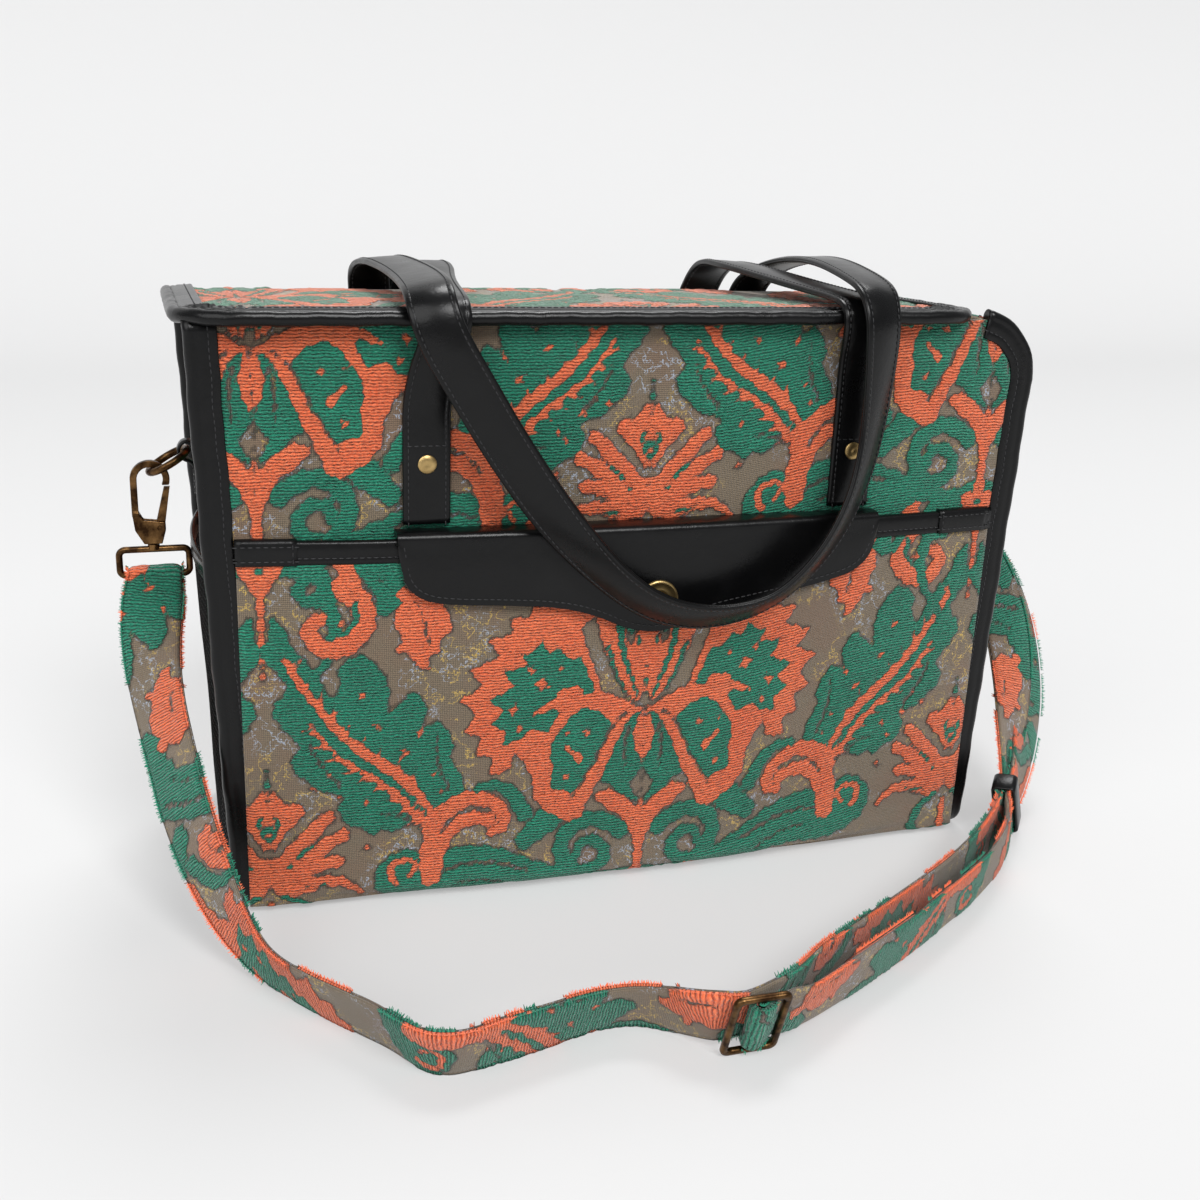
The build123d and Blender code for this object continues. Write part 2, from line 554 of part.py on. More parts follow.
strap_route = (
    [(-hang_x, wrap + 3.0, bar_z - 26, 1, 0, 0, narrow), (-hang_x, wrap + 1.0, bar_z - 12, 1, 0, 0, narrow)]
    + over_bar(-1, 1, -1)
    + [
        (-229, -7, 142, 1, -0.15, 0, wide), (-231, -13, 128, 0.93, -0.36, 0.05, wide),
        (-231, -22, 113, 0.82, -0.55, 0.12, wide), (-229, -38, 97, 0.72, -0.66, 0.22, wide),
        (-225, -57, 80, 0.68, -0.68, 0.27, wide), (-221, -77, 63, 0.66, -0.70, 0.26, wide),
        (-215, -96, 48, 0.62, -0.74, 0.25, wide), (-208, -113, 34, 0.56, -0.78, 0.3, wide),
        (-201, -127, 24, 0.4, -0.75, 0.5, wide), (-193, -140, 17, 0.2, -0.66, 0.72, wide),
        (-184, -153, 14.2, 0.0, -0.58, 0.81, wide), (-174, -168, 14.2, -0.04, -0.52, 0.85, wide),
        (-161, -184, 14.2, 0.0, -0.52, 0.85, wide), (-150, -197, 14.4, -0.04, -0.5, 0.86, wide),
        (-141, -212, 14.6, -0.08, -0.44, 0.9, wide), (-133, -222, 14.8, -0.1, -0.4, 0.91, wide),
        (-122, -225, 14.8, -0.15, -0.38, 0.91, wide), (-106, -220.5, 14.8, -0.2, -0.36, 0.91, wide),
        (-88, -217, 14.8, -0.2, -0.36, 0.91, wide), (-70, -212, 14.8, -0.2, -0.38, 0.9, wide),
        (-54, -209, 14.6, -0.2, -0.4, 0.89, wide), (-40, -211, 14.8, -0.18, -0.38, 0.9, wide),
        (-28, -220, 15.6, -0.12, -0.36, 0.93, wide),
    ]
    + [by_slider(-19, -tuck - 4), by_slider(-9, -tuck - 2.0), by_slider(2, -tuck - 3.8), by_slider(13, -tuck - 7)]
    + [
        (29, -217, 15.6, -0.05, -0.3, 0.95, wide), (45, -204, 15.0, -0.08, -0.28, 0.95, wide),
        (65, -193, 15.0, -0.1, -0.28, 0.95, wide), (88, -180, 15.0, -0.1, -0.28, 0.95, wide),
        (122, -160, 15.0, -0.12, -0.28, 0.95, wide), (143, -147, 15.0, -0.12, -0.28, 0.95, wide),
        (163, -133, 15.2, -0.15, -0.28, 0.95, wide), (182, -118, 15.5, -0.22, -0.3, 0.92, wide),
        (198, -104, 16.2, -0.33, -0.33, 0.88, wide), in_keeper(-9, -1), in_keeper(8, -1),
        (231, -65, 35, -0.62, -0.33, 0.7, wide), (240, -50, 52, -0.8, -0.2, 0.5, wide),
        (247, -36, 72, -0.93, -0.08, 0.3, wide), (249, -24, 94, -0.98, 0, 0.15, wide),
        (246, -15, 114, -1, 0, 0.05, wide), (238, -9, 132, -1, 0, 0, wide),
        (230, -5.5, 144, -1, 0, 0, narrow),
    ]
    + over_bar(1, -1, 1)
    + [
        (233, 6.5, 143, -1, 0, 0, narrow), (245, 8, 131, -0.95, 0.1, -0.2, wide),
        (257, 6, 115, -0.95, 0.1, -0.1, wide), (264, 0, 98, -0.97, 0.1, 0.05, wide),
        (267, -10, 80, -0.95, 0, 0.2, wide), (264, -25, 61, -0.9, -0.1, 0.35, wide),
        (255, -43, 43, -0.78, -0.2, 0.55, wide), (240, -64, 29, -0.6, -0.32, 0.72, wide),
        in_keeper(8, 1), in_keeper(-9, 1), (206, -108, 16.5, -0.3, -0.33, 0.89, wide),
        (189, -128, 15.2, -0.2, -0.3, 0.93, wide), (168, -146, 15.0, -0.15, -0.28, 0.95, wide),
        (148, -160, 15.0, -0.14, -0.28, 0.95, wide), (126, -174, 15.0, -0.13, -0.28, 0.95, wide),
        (101, -190, 15.0, -0.12, -0.3, 0.94, wide), (78, -203, 15.0, -0.1, -0.3, 0.94, wide),
        (58, -214, 15.0, -0.1, -0.32, 0.94, wide), (38, -225, 15.4, -0.06, -0.34, 0.94, wide),
        (22, -233, 16.2, 0, -0.34, 0.94, wide),
    ]
    + [by_slider(11.5, -tuck - 0.9), by_slider(6.5, -0.5)]
    + [by_slider(-tuck * math.sin(a), tuck * math.cos(a)) for a in (math.radians(d) for d in (-20, 20, 60, 100, 140))]
)
nodes["shoulder_strap"] = band(strap_route, strap_thickness)

slider_outer = RectangleRounded(slider_length + 2 * slider_wire, slider_bar + 2 * slider_wire, 4)
slider_hole = RectangleRounded(slider_length - 2 * slider_wire, slider_bar - 2 * slider_wire, 2)
slider_frame = extrude(slider_plane * (slider_outer - slider_hole), amount=slider_wire, both=True)
rims = slider_frame.edges().group_by(lambda e: round(abs(slider_plane.to_local_coords(e.center()).Z), 2))[-1]
slider_frame = fillet(rims, slider_wire - 0.2)
nodes["slider_frame"] = slider_frame
centre_bar = rod((slider_plane * Pos(0, -slider_bar / 2 + slider_wire * 0.9, 0)).position,
                 (slider_plane * Pos(0, slider_bar / 2 - slider_wire * 0.9, 0)).position, slider_wire - 0.1)
nodes["slider_bar"] = centre_bar - slider_frame

keeper_room = (strap_width + 1.2, 2 * strap_thickness + 3.4)
keeper = extrude(keeper_plane * (RectangleRounded(keeper_room[0] + 2 * keeper_leather,
                                                  keeper_room[1] + 2 * keeper_leather, 3.0)
                                 - RectangleRounded(keeper_room[0], keeper_room[1], 1.2)),
                 amount=keeper_length / 2, both=True)
nodes["strap_keeper"] = keeper

# ---- write the pieces -----------------------------------------------------------------
for name, shape in nodes.items():
    export_step(Compound(shape.solids()) if len(shape.solids()) > 1 else shape.solids()[0], f"parts/{name}.step")
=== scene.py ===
"""Looks of the carpet bag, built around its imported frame.

Sizes are in millimetres until a mesh is made. X runs to the right, -Y is the front, +Z is up.
"""

from __future__ import annotations

import logging
import math
from dataclasses import dataclass
from enum import Enum
from typing import Iterable, Sequence

import bmesh
import bpy
import numpy as np
from mathutils import Matrix, Vector


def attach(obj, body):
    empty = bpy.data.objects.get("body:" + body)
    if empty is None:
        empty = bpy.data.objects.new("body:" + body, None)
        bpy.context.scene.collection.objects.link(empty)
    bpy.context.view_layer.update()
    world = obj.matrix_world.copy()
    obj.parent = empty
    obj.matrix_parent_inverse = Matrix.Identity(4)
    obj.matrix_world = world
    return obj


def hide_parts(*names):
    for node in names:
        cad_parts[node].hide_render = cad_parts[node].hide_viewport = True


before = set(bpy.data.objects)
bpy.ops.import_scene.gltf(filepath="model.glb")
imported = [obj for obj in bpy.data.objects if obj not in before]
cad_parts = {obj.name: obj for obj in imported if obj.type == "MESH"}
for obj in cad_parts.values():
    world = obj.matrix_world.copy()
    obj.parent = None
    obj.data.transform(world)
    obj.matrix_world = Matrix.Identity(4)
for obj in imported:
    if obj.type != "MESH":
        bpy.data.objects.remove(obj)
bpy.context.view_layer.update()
LOG = logging.getLogger("carpet_bag")
MM = 0.001
Colour = tuple[float, float, float]
Point = tuple[float, float, float]
Faces = list[tuple[int, ...]]
Section = Sequence[tuple[float, float]]


# ---- shader kit -----------------------------------------------------------------------
class Sock:
    """One output in a material's node tree, on which sums can be written."""

    def __init__(self, tree: bpy.types.NodeTree, socket: bpy.types.NodeSocket) -> None:
        """Wrap a socket."""
        self.tree = tree
        self.socket = socket

    def maths(self, operation: str, *others: "Sock | float", clamp: bool = False,
        first: "Sock | float | None" = None) -> "Sock":
        """Add one Math node.

        Args:
            operation: the node's operation.
            others: the values after this one.
            clamp: keep the result from 0 to 1.
            first: a value that goes before this one.

        Returns:
            The result's socket.
        """
        node = self.tree.nodes.new("ShaderNodeMath")
        node.operation = operation
        node.use_clamp = clamp
        values = ([] if first is None else [first]) + [self, *others]
        for slot, value in zip(node.inputs, values):
            if isinstance(value, Sock):
                self.tree.links.new(value.socket, slot)
            else:
                slot.default_value = float(value)
        return Sock(self.tree, node.outputs[0])

    def __add__(self, other: "Sock | float") -> "Sock":
        """Sum."""
        return self.maths("ADD", other)

    __radd__ = __add__

    def __sub__(self, other: "Sock | float") -> "Sock":
        """Difference."""
        return self.maths("SUBTRACT", other)

    def __rsub__(self, other: float) -> "Sock":
        """Difference from a number."""
        return self.maths("SUBTRACT", first=other)

    def __mul__(self, other: "Sock | float") -> "Sock":
        """Product."""
        return self.maths("MULTIPLY", other)

    __rmul__ = __mul__

    def __truediv__(self, other: "Sock | float") -> "Sock":
        """Quotient."""
        return self.maths("DIVIDE", other)

    def __abs__(self) -> "Sock":
        """Size without sign."""
        return self.maths("ABSOLUTE")

    def sine(self) -> "Sock":
        """Sine."""
        return self.maths("SINE")

    def larger(self, other: "Sock | float") -> "Sock":
        """The larger of the two."""
        return self.maths("MAXIMUM", other)

    def smaller(self, other: "Sock | float") -> "Sock":
        """The smaller of the two."""
        return self.maths("MINIMUM", other)

    def step(self, edge: float, softness: float) -> "Sock":
        """A mask that rises from 0 to 1 around an edge."""
        return ((self - edge) / softness).maths("ADD", 0.5, clamp=True)


class Paint:
    """Builds one material."""

    def __init__(self, name: str, roughness: float, metallic: float = 0.0) -> None:
        """Start a material with one Principled shader.

        Args:
            name: the material's name.
            roughness: its plain roughness.
            metallic: its plain metallic value.
        """
        self.material = bpy.data.materials.new(name)
        self.material.use_nodes = True
        self.tree = self.material.node_tree
        self.tree.nodes.clear()
        self.shader = self.tree.nodes.new("ShaderNodeBsdfPrincipled")
        output = self.tree.nodes.new("ShaderNodeOutputMaterial")
        self.tree.links.new(self.shader.outputs[0], output.inputs["Surface"])
        self.shader.inputs["Roughness"].default_value = roughness
        self.shader.inputs["Metallic"].default_value = metallic

    def node(self, kind: str, settings: dict | None = None, values: dict | None = None, out: int | str = 0) -> Sock:
        """Add any node.

        Args:
            kind: the node's type.
            settings: its own settings, set first.
            values: socket name or number to a value or a Sock.
            out: the output to return.

        Returns:
            The output's socket.
        """
        node = self.tree.nodes.new(kind)
        for key, value in (settings or {}).items():
            setattr(node, key, value)
        for key, value in (values or {}).items():
            if isinstance(value, Sock):
                self.tree.links.new(value.socket, node.inputs[key])
            else:
                node.inputs[key].default_value = value
        return Sock(self.tree, node.outputs[out])

    def place(self, scale: Point = (1.0, 1.0, 1.0)) -> Sock:
        """Object coordinates, stretched by a scale."""
        spot = self.node("ShaderNodeTexCoord", out="Object")
        return self.node("ShaderNodeMapping", values={"Vector": spot, "Scale": scale})

    def cloth(self, scale: Point = (1.0, 1.0, 1.0)) -> Sock:
        """The cloth's own coordinates in metres, stretched by a scale."""
        spot = self.node("ShaderNodeUVMap", {"uv_map": "cloth"})
        return self.node("ShaderNodeMapping", values={"Vector": spot, "Scale": scale})

    def axes(self, vector: Sock) -> tuple[Sock, Sock, Sock]:
        """The three parts of a vector."""
        node = self.tree.nodes.new("ShaderNodeSeparateXYZ")
        self.tree.links.new(vector.socket, node.inputs[0])
        return tuple(Sock(self.tree, o) for o in node.outputs)

    def attribute(self, name: str) -> Sock:
        """A number stored on the mesh."""
        return self.node("ShaderNodeAttribute", {"attribute_name": name}, out="Fac")

    def noise(self, vector: Sock, scale: float, detail: float = 2.0, rough: float = 0.5) -> Sock:
        """Noise from 0 to 1 at a scale."""
        return self.node("ShaderNodeTexNoise", values={"Vector": vector, "Scale": scale, "Detail": detail,
            "Roughness": rough})

    def mix(self, low: Sock | Colour, high: Sock | Colour, factor: Sock | float, blend: str = "MIX") -> Sock:
        """Mix two colours.

        Args:
            low: the colour at 0.
            high: the colour at 1.
            factor: how much of the second.
            blend: the way they are mixed.

        Returns:
            The mixed colour.
        """
        node = self.tree.nodes.new("ShaderNodeMix")
        node.data_type = "RGBA"
        node.blend_type = blend
        for slot, value in ((node.inputs[6], low), (node.inputs[7], high), (node.inputs[0], factor)):
            if isinstance(value, Sock):
                self.tree.links.new(value.socket, slot)
            else:
                slot.default_value = (*value, 1.0) if isinstance(value, tuple) else value
        return Sock(self.tree, node.outputs[2])

    def give(self, name: str, value: Sock | Colour | float) -> None:
        """Set or link one of the shader's sockets.

        Args:
            name: the socket.
            value: a number, a colour or a Sock.
        """
        slot = self.shader.inputs[name]
        if isinstance(value, Sock):
            self.tree.links.new(value.socket, slot)
        else:
            slot.default_value = (*value, 1.0) if isinstance(value, tuple) else value

    def relief(self, *layers: tuple[Sock, float]) -> None:
        """Bump layers, each a height from 0 to 1 and its depth in millimetres."""
        normal: Sock | None = None
        for height, depth in layers:
            values = {"Height": height, "Distance": depth * MM, "Strength": 1.0}
            if normal is not None:
                values["Normal"] = normal
            normal = self.node("ShaderNodeBump", values=values)
        if normal is not None:
            self.give("Normal", normal)


# ---- finishes -------------------------------------------------------------------------
@dataclass(frozen=True)
class LeatherFinish:
    """Smooth black leather with a satin top coat."""

    name: str = "black_leather"
    colour: Colour = (0.0025, 0.0025, 0.0027)
    worn: Colour = (0.008, 0.008, 0.0085)
    roughness: float = 0.27
    grain: float = 0.05

    def build(self) -> bpy.types.Material:
        """Make the material."""
        paint = Paint(self.name, self.roughness)
        spot = paint.place()
        mottling = paint.noise(spot, 45.0, 3.0)
        grain = paint.noise(spot, 1900.0, 2.0, 0.6)
        pores = paint.noise(spot, 520.0, 2.0, 0.5)
        creases = paint.noise(spot, 90.0, 4.0, 0.6)
        paint.give("Base Color", paint.mix(self.colour, self.worn, mottling.step(0.66, 0.3) * 0.35))
        paint.give("Roughness", mottling * 0.16 + self.roughness - 0.08 + grain * 0.05)
        paint.give("Specular IOR Level", 0.26)
        paint.relief((creases, 0.25), (pores, 0.05), (grain, self.grain * 0.6))
        return paint.material


@dataclass(frozen=True)
class ThreadFinish:
    """Waxed sewing thread."""

    name: str = "black_thread"
    colour: Colour = (0.007, 0.007, 0.008)

    def build(self) -> bpy.types.Material:
        """Make the material."""
        paint = Paint(self.name, 0.55)
        twist = paint.noise(paint.place(), 2600.0, 1.0)
        paint.give("Base Color", paint.mix(self.colour, (0.018, 0.018, 0.02), twist))
        paint.relief((twist, 0.04))
        return paint.material


@dataclass(frozen=True)
class MetalFinish:
    """Plated metal with blotches of patina."""

    name: str
    colour: Colour
    patina: Colour
    roughness: float
    wear: float

    def build(self) -> bpy.types.Material:
        """Make the material."""
        paint = Paint(self.name, self.roughness, 1.0)
        spot = paint.place()
        blotch = paint.noise(spot, 160.0, 3.0, 0.6)
        fine = paint.noise(spot, 1400.0, 2.0, 0.6)
        dark = blotch.step(0.42, 0.35) * self.wear
        paint.give("Base Color", paint.mix(self.colour, self.patina, dark))
        paint.give("Roughness", fine * 0.16 + dark * 0.12 + self.roughness - 0.06)
        paint.relief((fine, 0.025), (blotch, 0.06))
        return paint.material


@dataclass(frozen=True)
class CarpetFinish:
    """Chenille pile in two colours on a flat woven ground with wandering metal threads."""

    name: str = "woven_carpet"
    coral: Colour = (1.0, 0.225, 0.085)
    # shaded copy of the coral pile, used for painted shade
    coral_shaded: Colour = (0.66, 0.05, 0.012)
    green: Colour = (0.010, 0.30, 0.175)
    # shaded copy of the green pile, used for painted shade
    green_shaded: Colour = (0.001, 0.05, 0.03)
    ground: Colour = (0.24, 0.185, 0.125)
    ground_deep: Colour = (0.05, 0.038, 0.025)
    gold: Colour = (0.62, 0.42, 0.10)
    silver: Colour = (0.42, 0.48, 0.58)
    rib_mm: float = 1.45
    sheen: float = 0.35
    # pale: share of pale peach mixed into the base colour, a painted grazing-light sheen
    pale: float = 0.0

    def build(self) -> bpy.types.Material:
        """Make the material."""
        paint = Paint(self.name, 0.85)
        flat = paint.cloth((1000.0, 1000.0, 1000.0))
        across, along, _ = paint.axes(flat)
        coral, green = paint.attribute("coral"), paint.attribute("green")
        ragged = (paint.noise(flat, 0.62, 2.0, 0.7) - 0.5) * 1.9
        stray = (paint.noise(flat, 1.9, 1.0, 0.5) - 0.5) * 1.1
        pile = (coral.larger(green) + ragged).step(0.0, 0.55)
        is_coral = (coral - green + stray).step(0.0, 0.5)
        wobble = paint.noise(flat, 0.22, 2.0, 0.6) * 1.9
        phase = (along + wobble) * (2 * math.pi / self.rib_mm)
        rib = abs((phase * 0.5).sine())
        # valleys between the pile's ribs, which get painted shade below
        groove = (1.0 - rib.step(0.42, 0.5)) * (paint.noise(flat, 0.7, 2.0).step(0.45, 0.4) * 0.7 + 0.3)
        tuft = paint.noise(paint.cloth((700.0, 1500.0, 1000.0)), 1.0, 3.0, 0.7)
        # patches where the pile parts, which get painted shade below
        parting = paint.noise(flat, 0.75, 3.0, 0.75).step(0.31, 0.12)
        shade = paint.noise(flat, 0.045, 3.0, 0.6)
        # each pile tone runs from its shaded copy to its lit one: painted shade on the lower tufts, mixed with broad
        # random tone
        coral_tone = paint.mix(self.coral_shaded, self.coral, tuft.step(0.36, 0.6) * 0.6 + shade.step(0.4, 0.6) * 0.4)
        green_tone = paint.mix(self.green_shaded, self.green, tuft.step(0.42, 0.6) * 0.6 + shade.step(0.42, 0.6) * 0.4)
        tone = paint.mix(green_tone, coral_tone, is_coral)
        # painted highlight: a pale tone on the highest tufts along the ribs
        tone = paint.mix(tone, paint.mix((0.16, 0.52, 0.36), (1.0, 0.46, 0.27), is_coral),
            tuft.step(0.58, 0.25) * rib * 0.45)
        # painted shade: darken the pile in the valleys between its ribs
        tone = paint.mix(tone, paint.mix((0.001, 0.016, 0.010), (0.28, 0.014, 0.003), is_coral), groove * 0.8)
        # painted shade where the pile parts: dark pile tone in the noise patches
        tone = paint.mix(paint.mix((0.001, 0.006, 0.004), (0.10, 0.012, 0.004), is_coral), tone, parting * 0.75 + 0.25)
        warp = abs((across * (math.pi / 0.85)).sine())
        weft = abs((along * (math.pi / 0.95)).sine())
        weave = warp.smaller(weft).step(0.25, 0.5)
        fleck = paint.noise(flat, 0.9, 2.0, 0.6)
        floor = paint.mix(self.ground_deep, self.ground, weave * 0.6 + fleck.step(0.5, 0.7) * 0.4)
        floor = paint.mix(floor, (0.20, 0.115, 0.075), paint.noise(flat, 0.035, 2.0).step(0.56, 0.2) * 0.45)
        floor = paint.mix(floor, self.silver, self.thread(paint, flat, 0.10, 7.0))
        floor = paint.mix(floor, self.gold, self.thread(paint, flat, 0.085, 31.0))
        # painted shade: the ground just outside the pile's edges is darkened toward black
        edge = ((coral.larger(green) + ragged + 0.75).step(0.0, 0.9)) * (1.0 - pile)
        floor = paint.mix(floor, (0.012, 0.010, 0.008), edge * 0.8)
        base = paint.mix(floor, tone, pile)
        # painted sheen: pale the base colour toward peach, as grazing light does on the lid
        if self.pale > 0.0:
            base = paint.mix(base, (1.0, 0.86, 0.66), self.pale)
        paint.give("Base Color", base)
        paint.give("Sheen Weight", self.sheen)
        paint.give("Sheen Roughness", 0.45)
        paint.give("Specular IOR Level", 0.2)
        loops = rib * pile
        paint.relief((weave * (1.0 - pile), 0.25), (loops, 1.0), (tuft * pile, 0.9), (fleck, 0.1))
        return paint.material

    def thread(self, paint: Paint, flat: Sock, scale: float, seed: float) -> Sock:
        """A mask of short wandering metal threads.

        Args:
            paint: the material under way.
            flat: the cloth's coordinates in millimetres.
            scale: how tightly they wander.
            seed: a shift that sets this thread apart from the others.

        Returns:
            The mask.
        """
        moved = paint.node("ShaderNodeVectorMath", {"operation": "ADD"}, {0: flat, 1: (seed, seed * 2.3, seed)})
        field_ = paint.noise(moved, scale, 3.0, 0.7)
        line = 1.0 - abs(field_ - 0.5).step(0.012, 0.016)
        band = paint.noise(moved, 0.028, 1.0).step(0.52, 0.06)
        dash = paint.noise(moved, 1.1, 1.0).step(0.44, 0.2)
        return line * band * dash * 0.85


@dataclass(frozen=True)
class PlainClothFinish:
    """Plain woven cloth or tape."""

    name: str
    colour: Colour
    thread_mm: float = 0.5

    def build(self) -> bpy.types.Material:
        """Make the material."""
        paint = Paint(self.name, 0.8)
        spot = paint.place((1000.0, 1000.0, 1000.0))
        x, y, z = paint.axes(spot)
        pitch = math.pi / self.thread_mm
        weave = abs(((x + y) * pitch).sine()) * abs((z * pitch).sine())
        paint.give("Base Color", paint.mix(tuple(c * 0.5 for c in self.colour), self.colour, weave))
        paint.relief((weave, 0.15))
        return paint.material


# ---- mesh kit -------------------------------------------------------------------------
def put(name: str, data: bpy.types.ID | None) -> bpy.types.Object:
    """Make an object of some data and link it to the scene."""
    obj = bpy.data.objects.new(name, data)
    bpy.context.scene.collection.objects.link(obj)
    return obj


def baked(obj: bpy.types.Object) -> bpy.types.Mesh:
    """The plain mesh that an object and its modifiers give."""
    bpy.context.view_layer.update()
    return bpy.data.meshes.new_from_object(obj.evaluated_get(bpy.context.evaluated_depsgraph_get()))


def add_numbers(mesh: bpy.types.Mesh, numbers: dict[str, np.ndarray]) -> None:
    """Store named values or vectors on a mesh, one a point."""
    for key, values in numbers.items():
        vector = values.ndim == 2
        layer = mesh.attributes.new(key, "FLOAT_VECTOR" if vector else "FLOAT", "POINT")
        layer.data.foreach_set("vector" if vector else "value", np.asarray(values, np.float32).ravel())


def make_object(
    name: str,
    points: np.ndarray,
    faces: Sequence[Sequence[int]],
    material: bpy.types.Material | None,
    body: str = "root",
    numbers: dict[str, np.ndarray] | None = None,
    flat: np.ndarray | None = None,
    replaces: Iterable[str] = (),
) -> bpy.types.Object:
    """Make a piece from points in millimetres.

    Args:
        name: the piece's name.
        points: one row a point.
        faces: point numbers of each face.
        material: its material.
        body: the CAD body it rides on.
        numbers: named values, one a point.
        flat: cloth coordinates in millimetres, one pair a point.
        replaces: the CAD nodes it stands for.

    Returns:
        The piece.
    """
    mesh = bpy.data.meshes.new(name)
    mesh.from_pydata((np.asarray(points, float) * MM).tolist(), [], [list(map(int, f)) for f in faces])
    mesh.update()
    mesh.polygons.foreach_set("use_smooth", [True] * len(mesh.polygons))
    add_numbers(mesh, numbers or {})
    if flat is not None:
        corner = np.zeros(len(mesh.loops), np.int32)
        mesh.loops.foreach_get("vertex_index", corner)
        layer = mesh.uv_layers.new(name="cloth")
        layer.data.foreach_set("uv", (np.asarray(flat, np.float32)[corner] * MM).ravel())
    if material is not None:
        mesh.materials.append(material)
    obj = put(name, mesh)
    settle(obj, body, replaces)
    return obj


def settle(obj: bpy.types.Object, body: str = "root", replaces: Iterable[str] = ()) -> None:
    """Hang a piece on the empty of the CAD body it rides on, and hide the CAD nodes it stands for.

    Args:
        obj: the piece.
        body: the CAD body it rides on.
        replaces: the CAD nodes it stands for.
    """
    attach(obj, body)
    names = list(replaces)
    if names:
        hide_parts(*names)


def grid_faces(rows: int, columns: int, start: int = 0, closed: bool = False, flip: bool = False) -> Faces:
    """Quads of a grid of points.

    Args:
        rows: how many rows of points.
        columns: how many points in a row.
        start: the first point's number.
        closed: join the last column to the first.
        flip: turn the faces over.

    Returns:
        The quads.
    """
    across = columns if closed else columns - 1
    r, c = np.meshgrid(np.arange(rows - 1), np.arange(across), indexing="ij")
    a = start + r * columns + c
    b = start + r * columns + (c + 1) % columns
    quads = np.stack([a, b, b + columns, a + columns], -1).reshape(-1, 4)
    return [tuple(q) for q in (quads[:, ::-1] if flip else quads)]


def grid_normals(points: np.ndarray) -> np.ndarray:
    """Unit normals of a grid of points, one each."""
    down = np.gradient(points, axis=0)
    along = np.gradient(points, axis=1)
    normal = np.cross(along, down)
    return normal / np.maximum(np.linalg.norm(normal, axis=2, keepdims=True), 1e-9)


def shell(points: np.ndarray, outward: np.ndarray, raised: np.ndarray, thickness: float) -> tuple[np.ndarray, Faces]:
    """Closed sheet from a grid of outer points.

    Args:
        points: rows by columns by 3.
        outward: unit normals of the same shape.
        raised: how far each outer point stands proud.
        thickness: how far in the inner side lies.

    Returns:
        The points and faces.
    """
    rows, columns, _ = points.shape
    outer = points + outward * raised[..., None]
    inner = points - outward * thickness
    count = rows * columns
    side = np.sign(np.sum(grid_normals(points) * outward))
    faces = grid_faces(rows, columns, flip=side < 0)
    faces += grid_faces(rows, columns, start=count, flip=side > 0)
    top = [(0, c) for c in range(columns)] + [(r, columns - 1) for r in range(1, rows)]
    rim = top + [(rows - 1, c) for c in range(columns - 2, -1, -1)] + [(r, 0) for r in range(rows - 2, 0, -1)]
    ids = [r * columns + c for r, c in rim]
    for a, b in zip(ids, ids[1:] + ids[:1]):
        quad = (b, a, a + count, b + count)
        faces.append(quad if side > 0 else quad[::-1])
    return np.concatenate([outer.reshape(-1, 3), inner.reshape(-1, 3)]), faces


def smooth_line(points: Sequence[Sequence[float]], resolution: int = 8) -> np.ndarray:
    """Points of a smooth NURBS line through a route's control points.

    Args:
        points: the control points in millimetres.
        resolution: how many points to each span.

    Returns:
        The line's points in millimetres.
    """
    data = bpy.data.curves.new("route", "CURVE")
    data.dimensions = "3D"
    data.resolution_u = resolution
    spline = data.splines.new("NURBS")
    spline.points.add(len(points) - 1)
    for spot, p in zip(spline.points, points):
        spot.co = (*p, 1.0)
    spline.order_u = 3
    spline.use_endpoint_u = True
    obj = put("route", data)
    mesh = baked(obj)
    line = np.array([v.co for v in mesh.vertices])
    bpy.data.objects.remove(obj)
    bpy.data.curves.remove(data)
    bpy.data.meshes.remove(mesh)
    return line


def arc_lengths(line: np.ndarray) -> np.ndarray:
    """Distance along a line at each of its points."""
    return np.concatenate([[0.0], np.cumsum(np.linalg.norm(np.diff(line[:, :3], axis=0), axis=1))])


def rows_at(want: np.ndarray, run: np.ndarray, rows: np.ndarray) -> np.ndarray:
    """Rows read off at the wanted distances, where run is each row's own distance."""
    return np.stack([np.interp(want, run, column) for column in rows.T], 1)


def resample(line: np.ndarray, spacing: float) -> np.ndarray:
    """The same line with evenly spaced rows; extra columns are carried along.

    Args:
        line: rows whose first three columns are the place.
        spacing: about how far apart the new rows are.

    Returns:
        The new rows.
    """
    run = arc_lengths(line)
    count = max(2, int(round(run[-1] / spacing)) + 1)
    return rows_at(np.linspace(0, run[-1], count), run, line)


def unit(vectors: np.ndarray) -> np.ndarray:
    """Vectors scaled to length one."""
    return vectors / np.maximum(np.linalg.norm(vectors, axis=-1, keepdims=True), 1e-9)


def frames_along(line: np.ndarray, across: np.ndarray) -> tuple[np.ndarray, np.ndarray]:
    """Across and outward directions at right angles to a line.

    Args:
        line: the line's points.
        across: rough across directions, one a point.

    Returns:
        The across and outward unit vectors.
    """
    ahead = unit(np.gradient(line, axis=0))
    side = unit(across - ahead * np.sum(across * ahead, 1, keepdims=True))
    return side, np.cross(ahead, side)


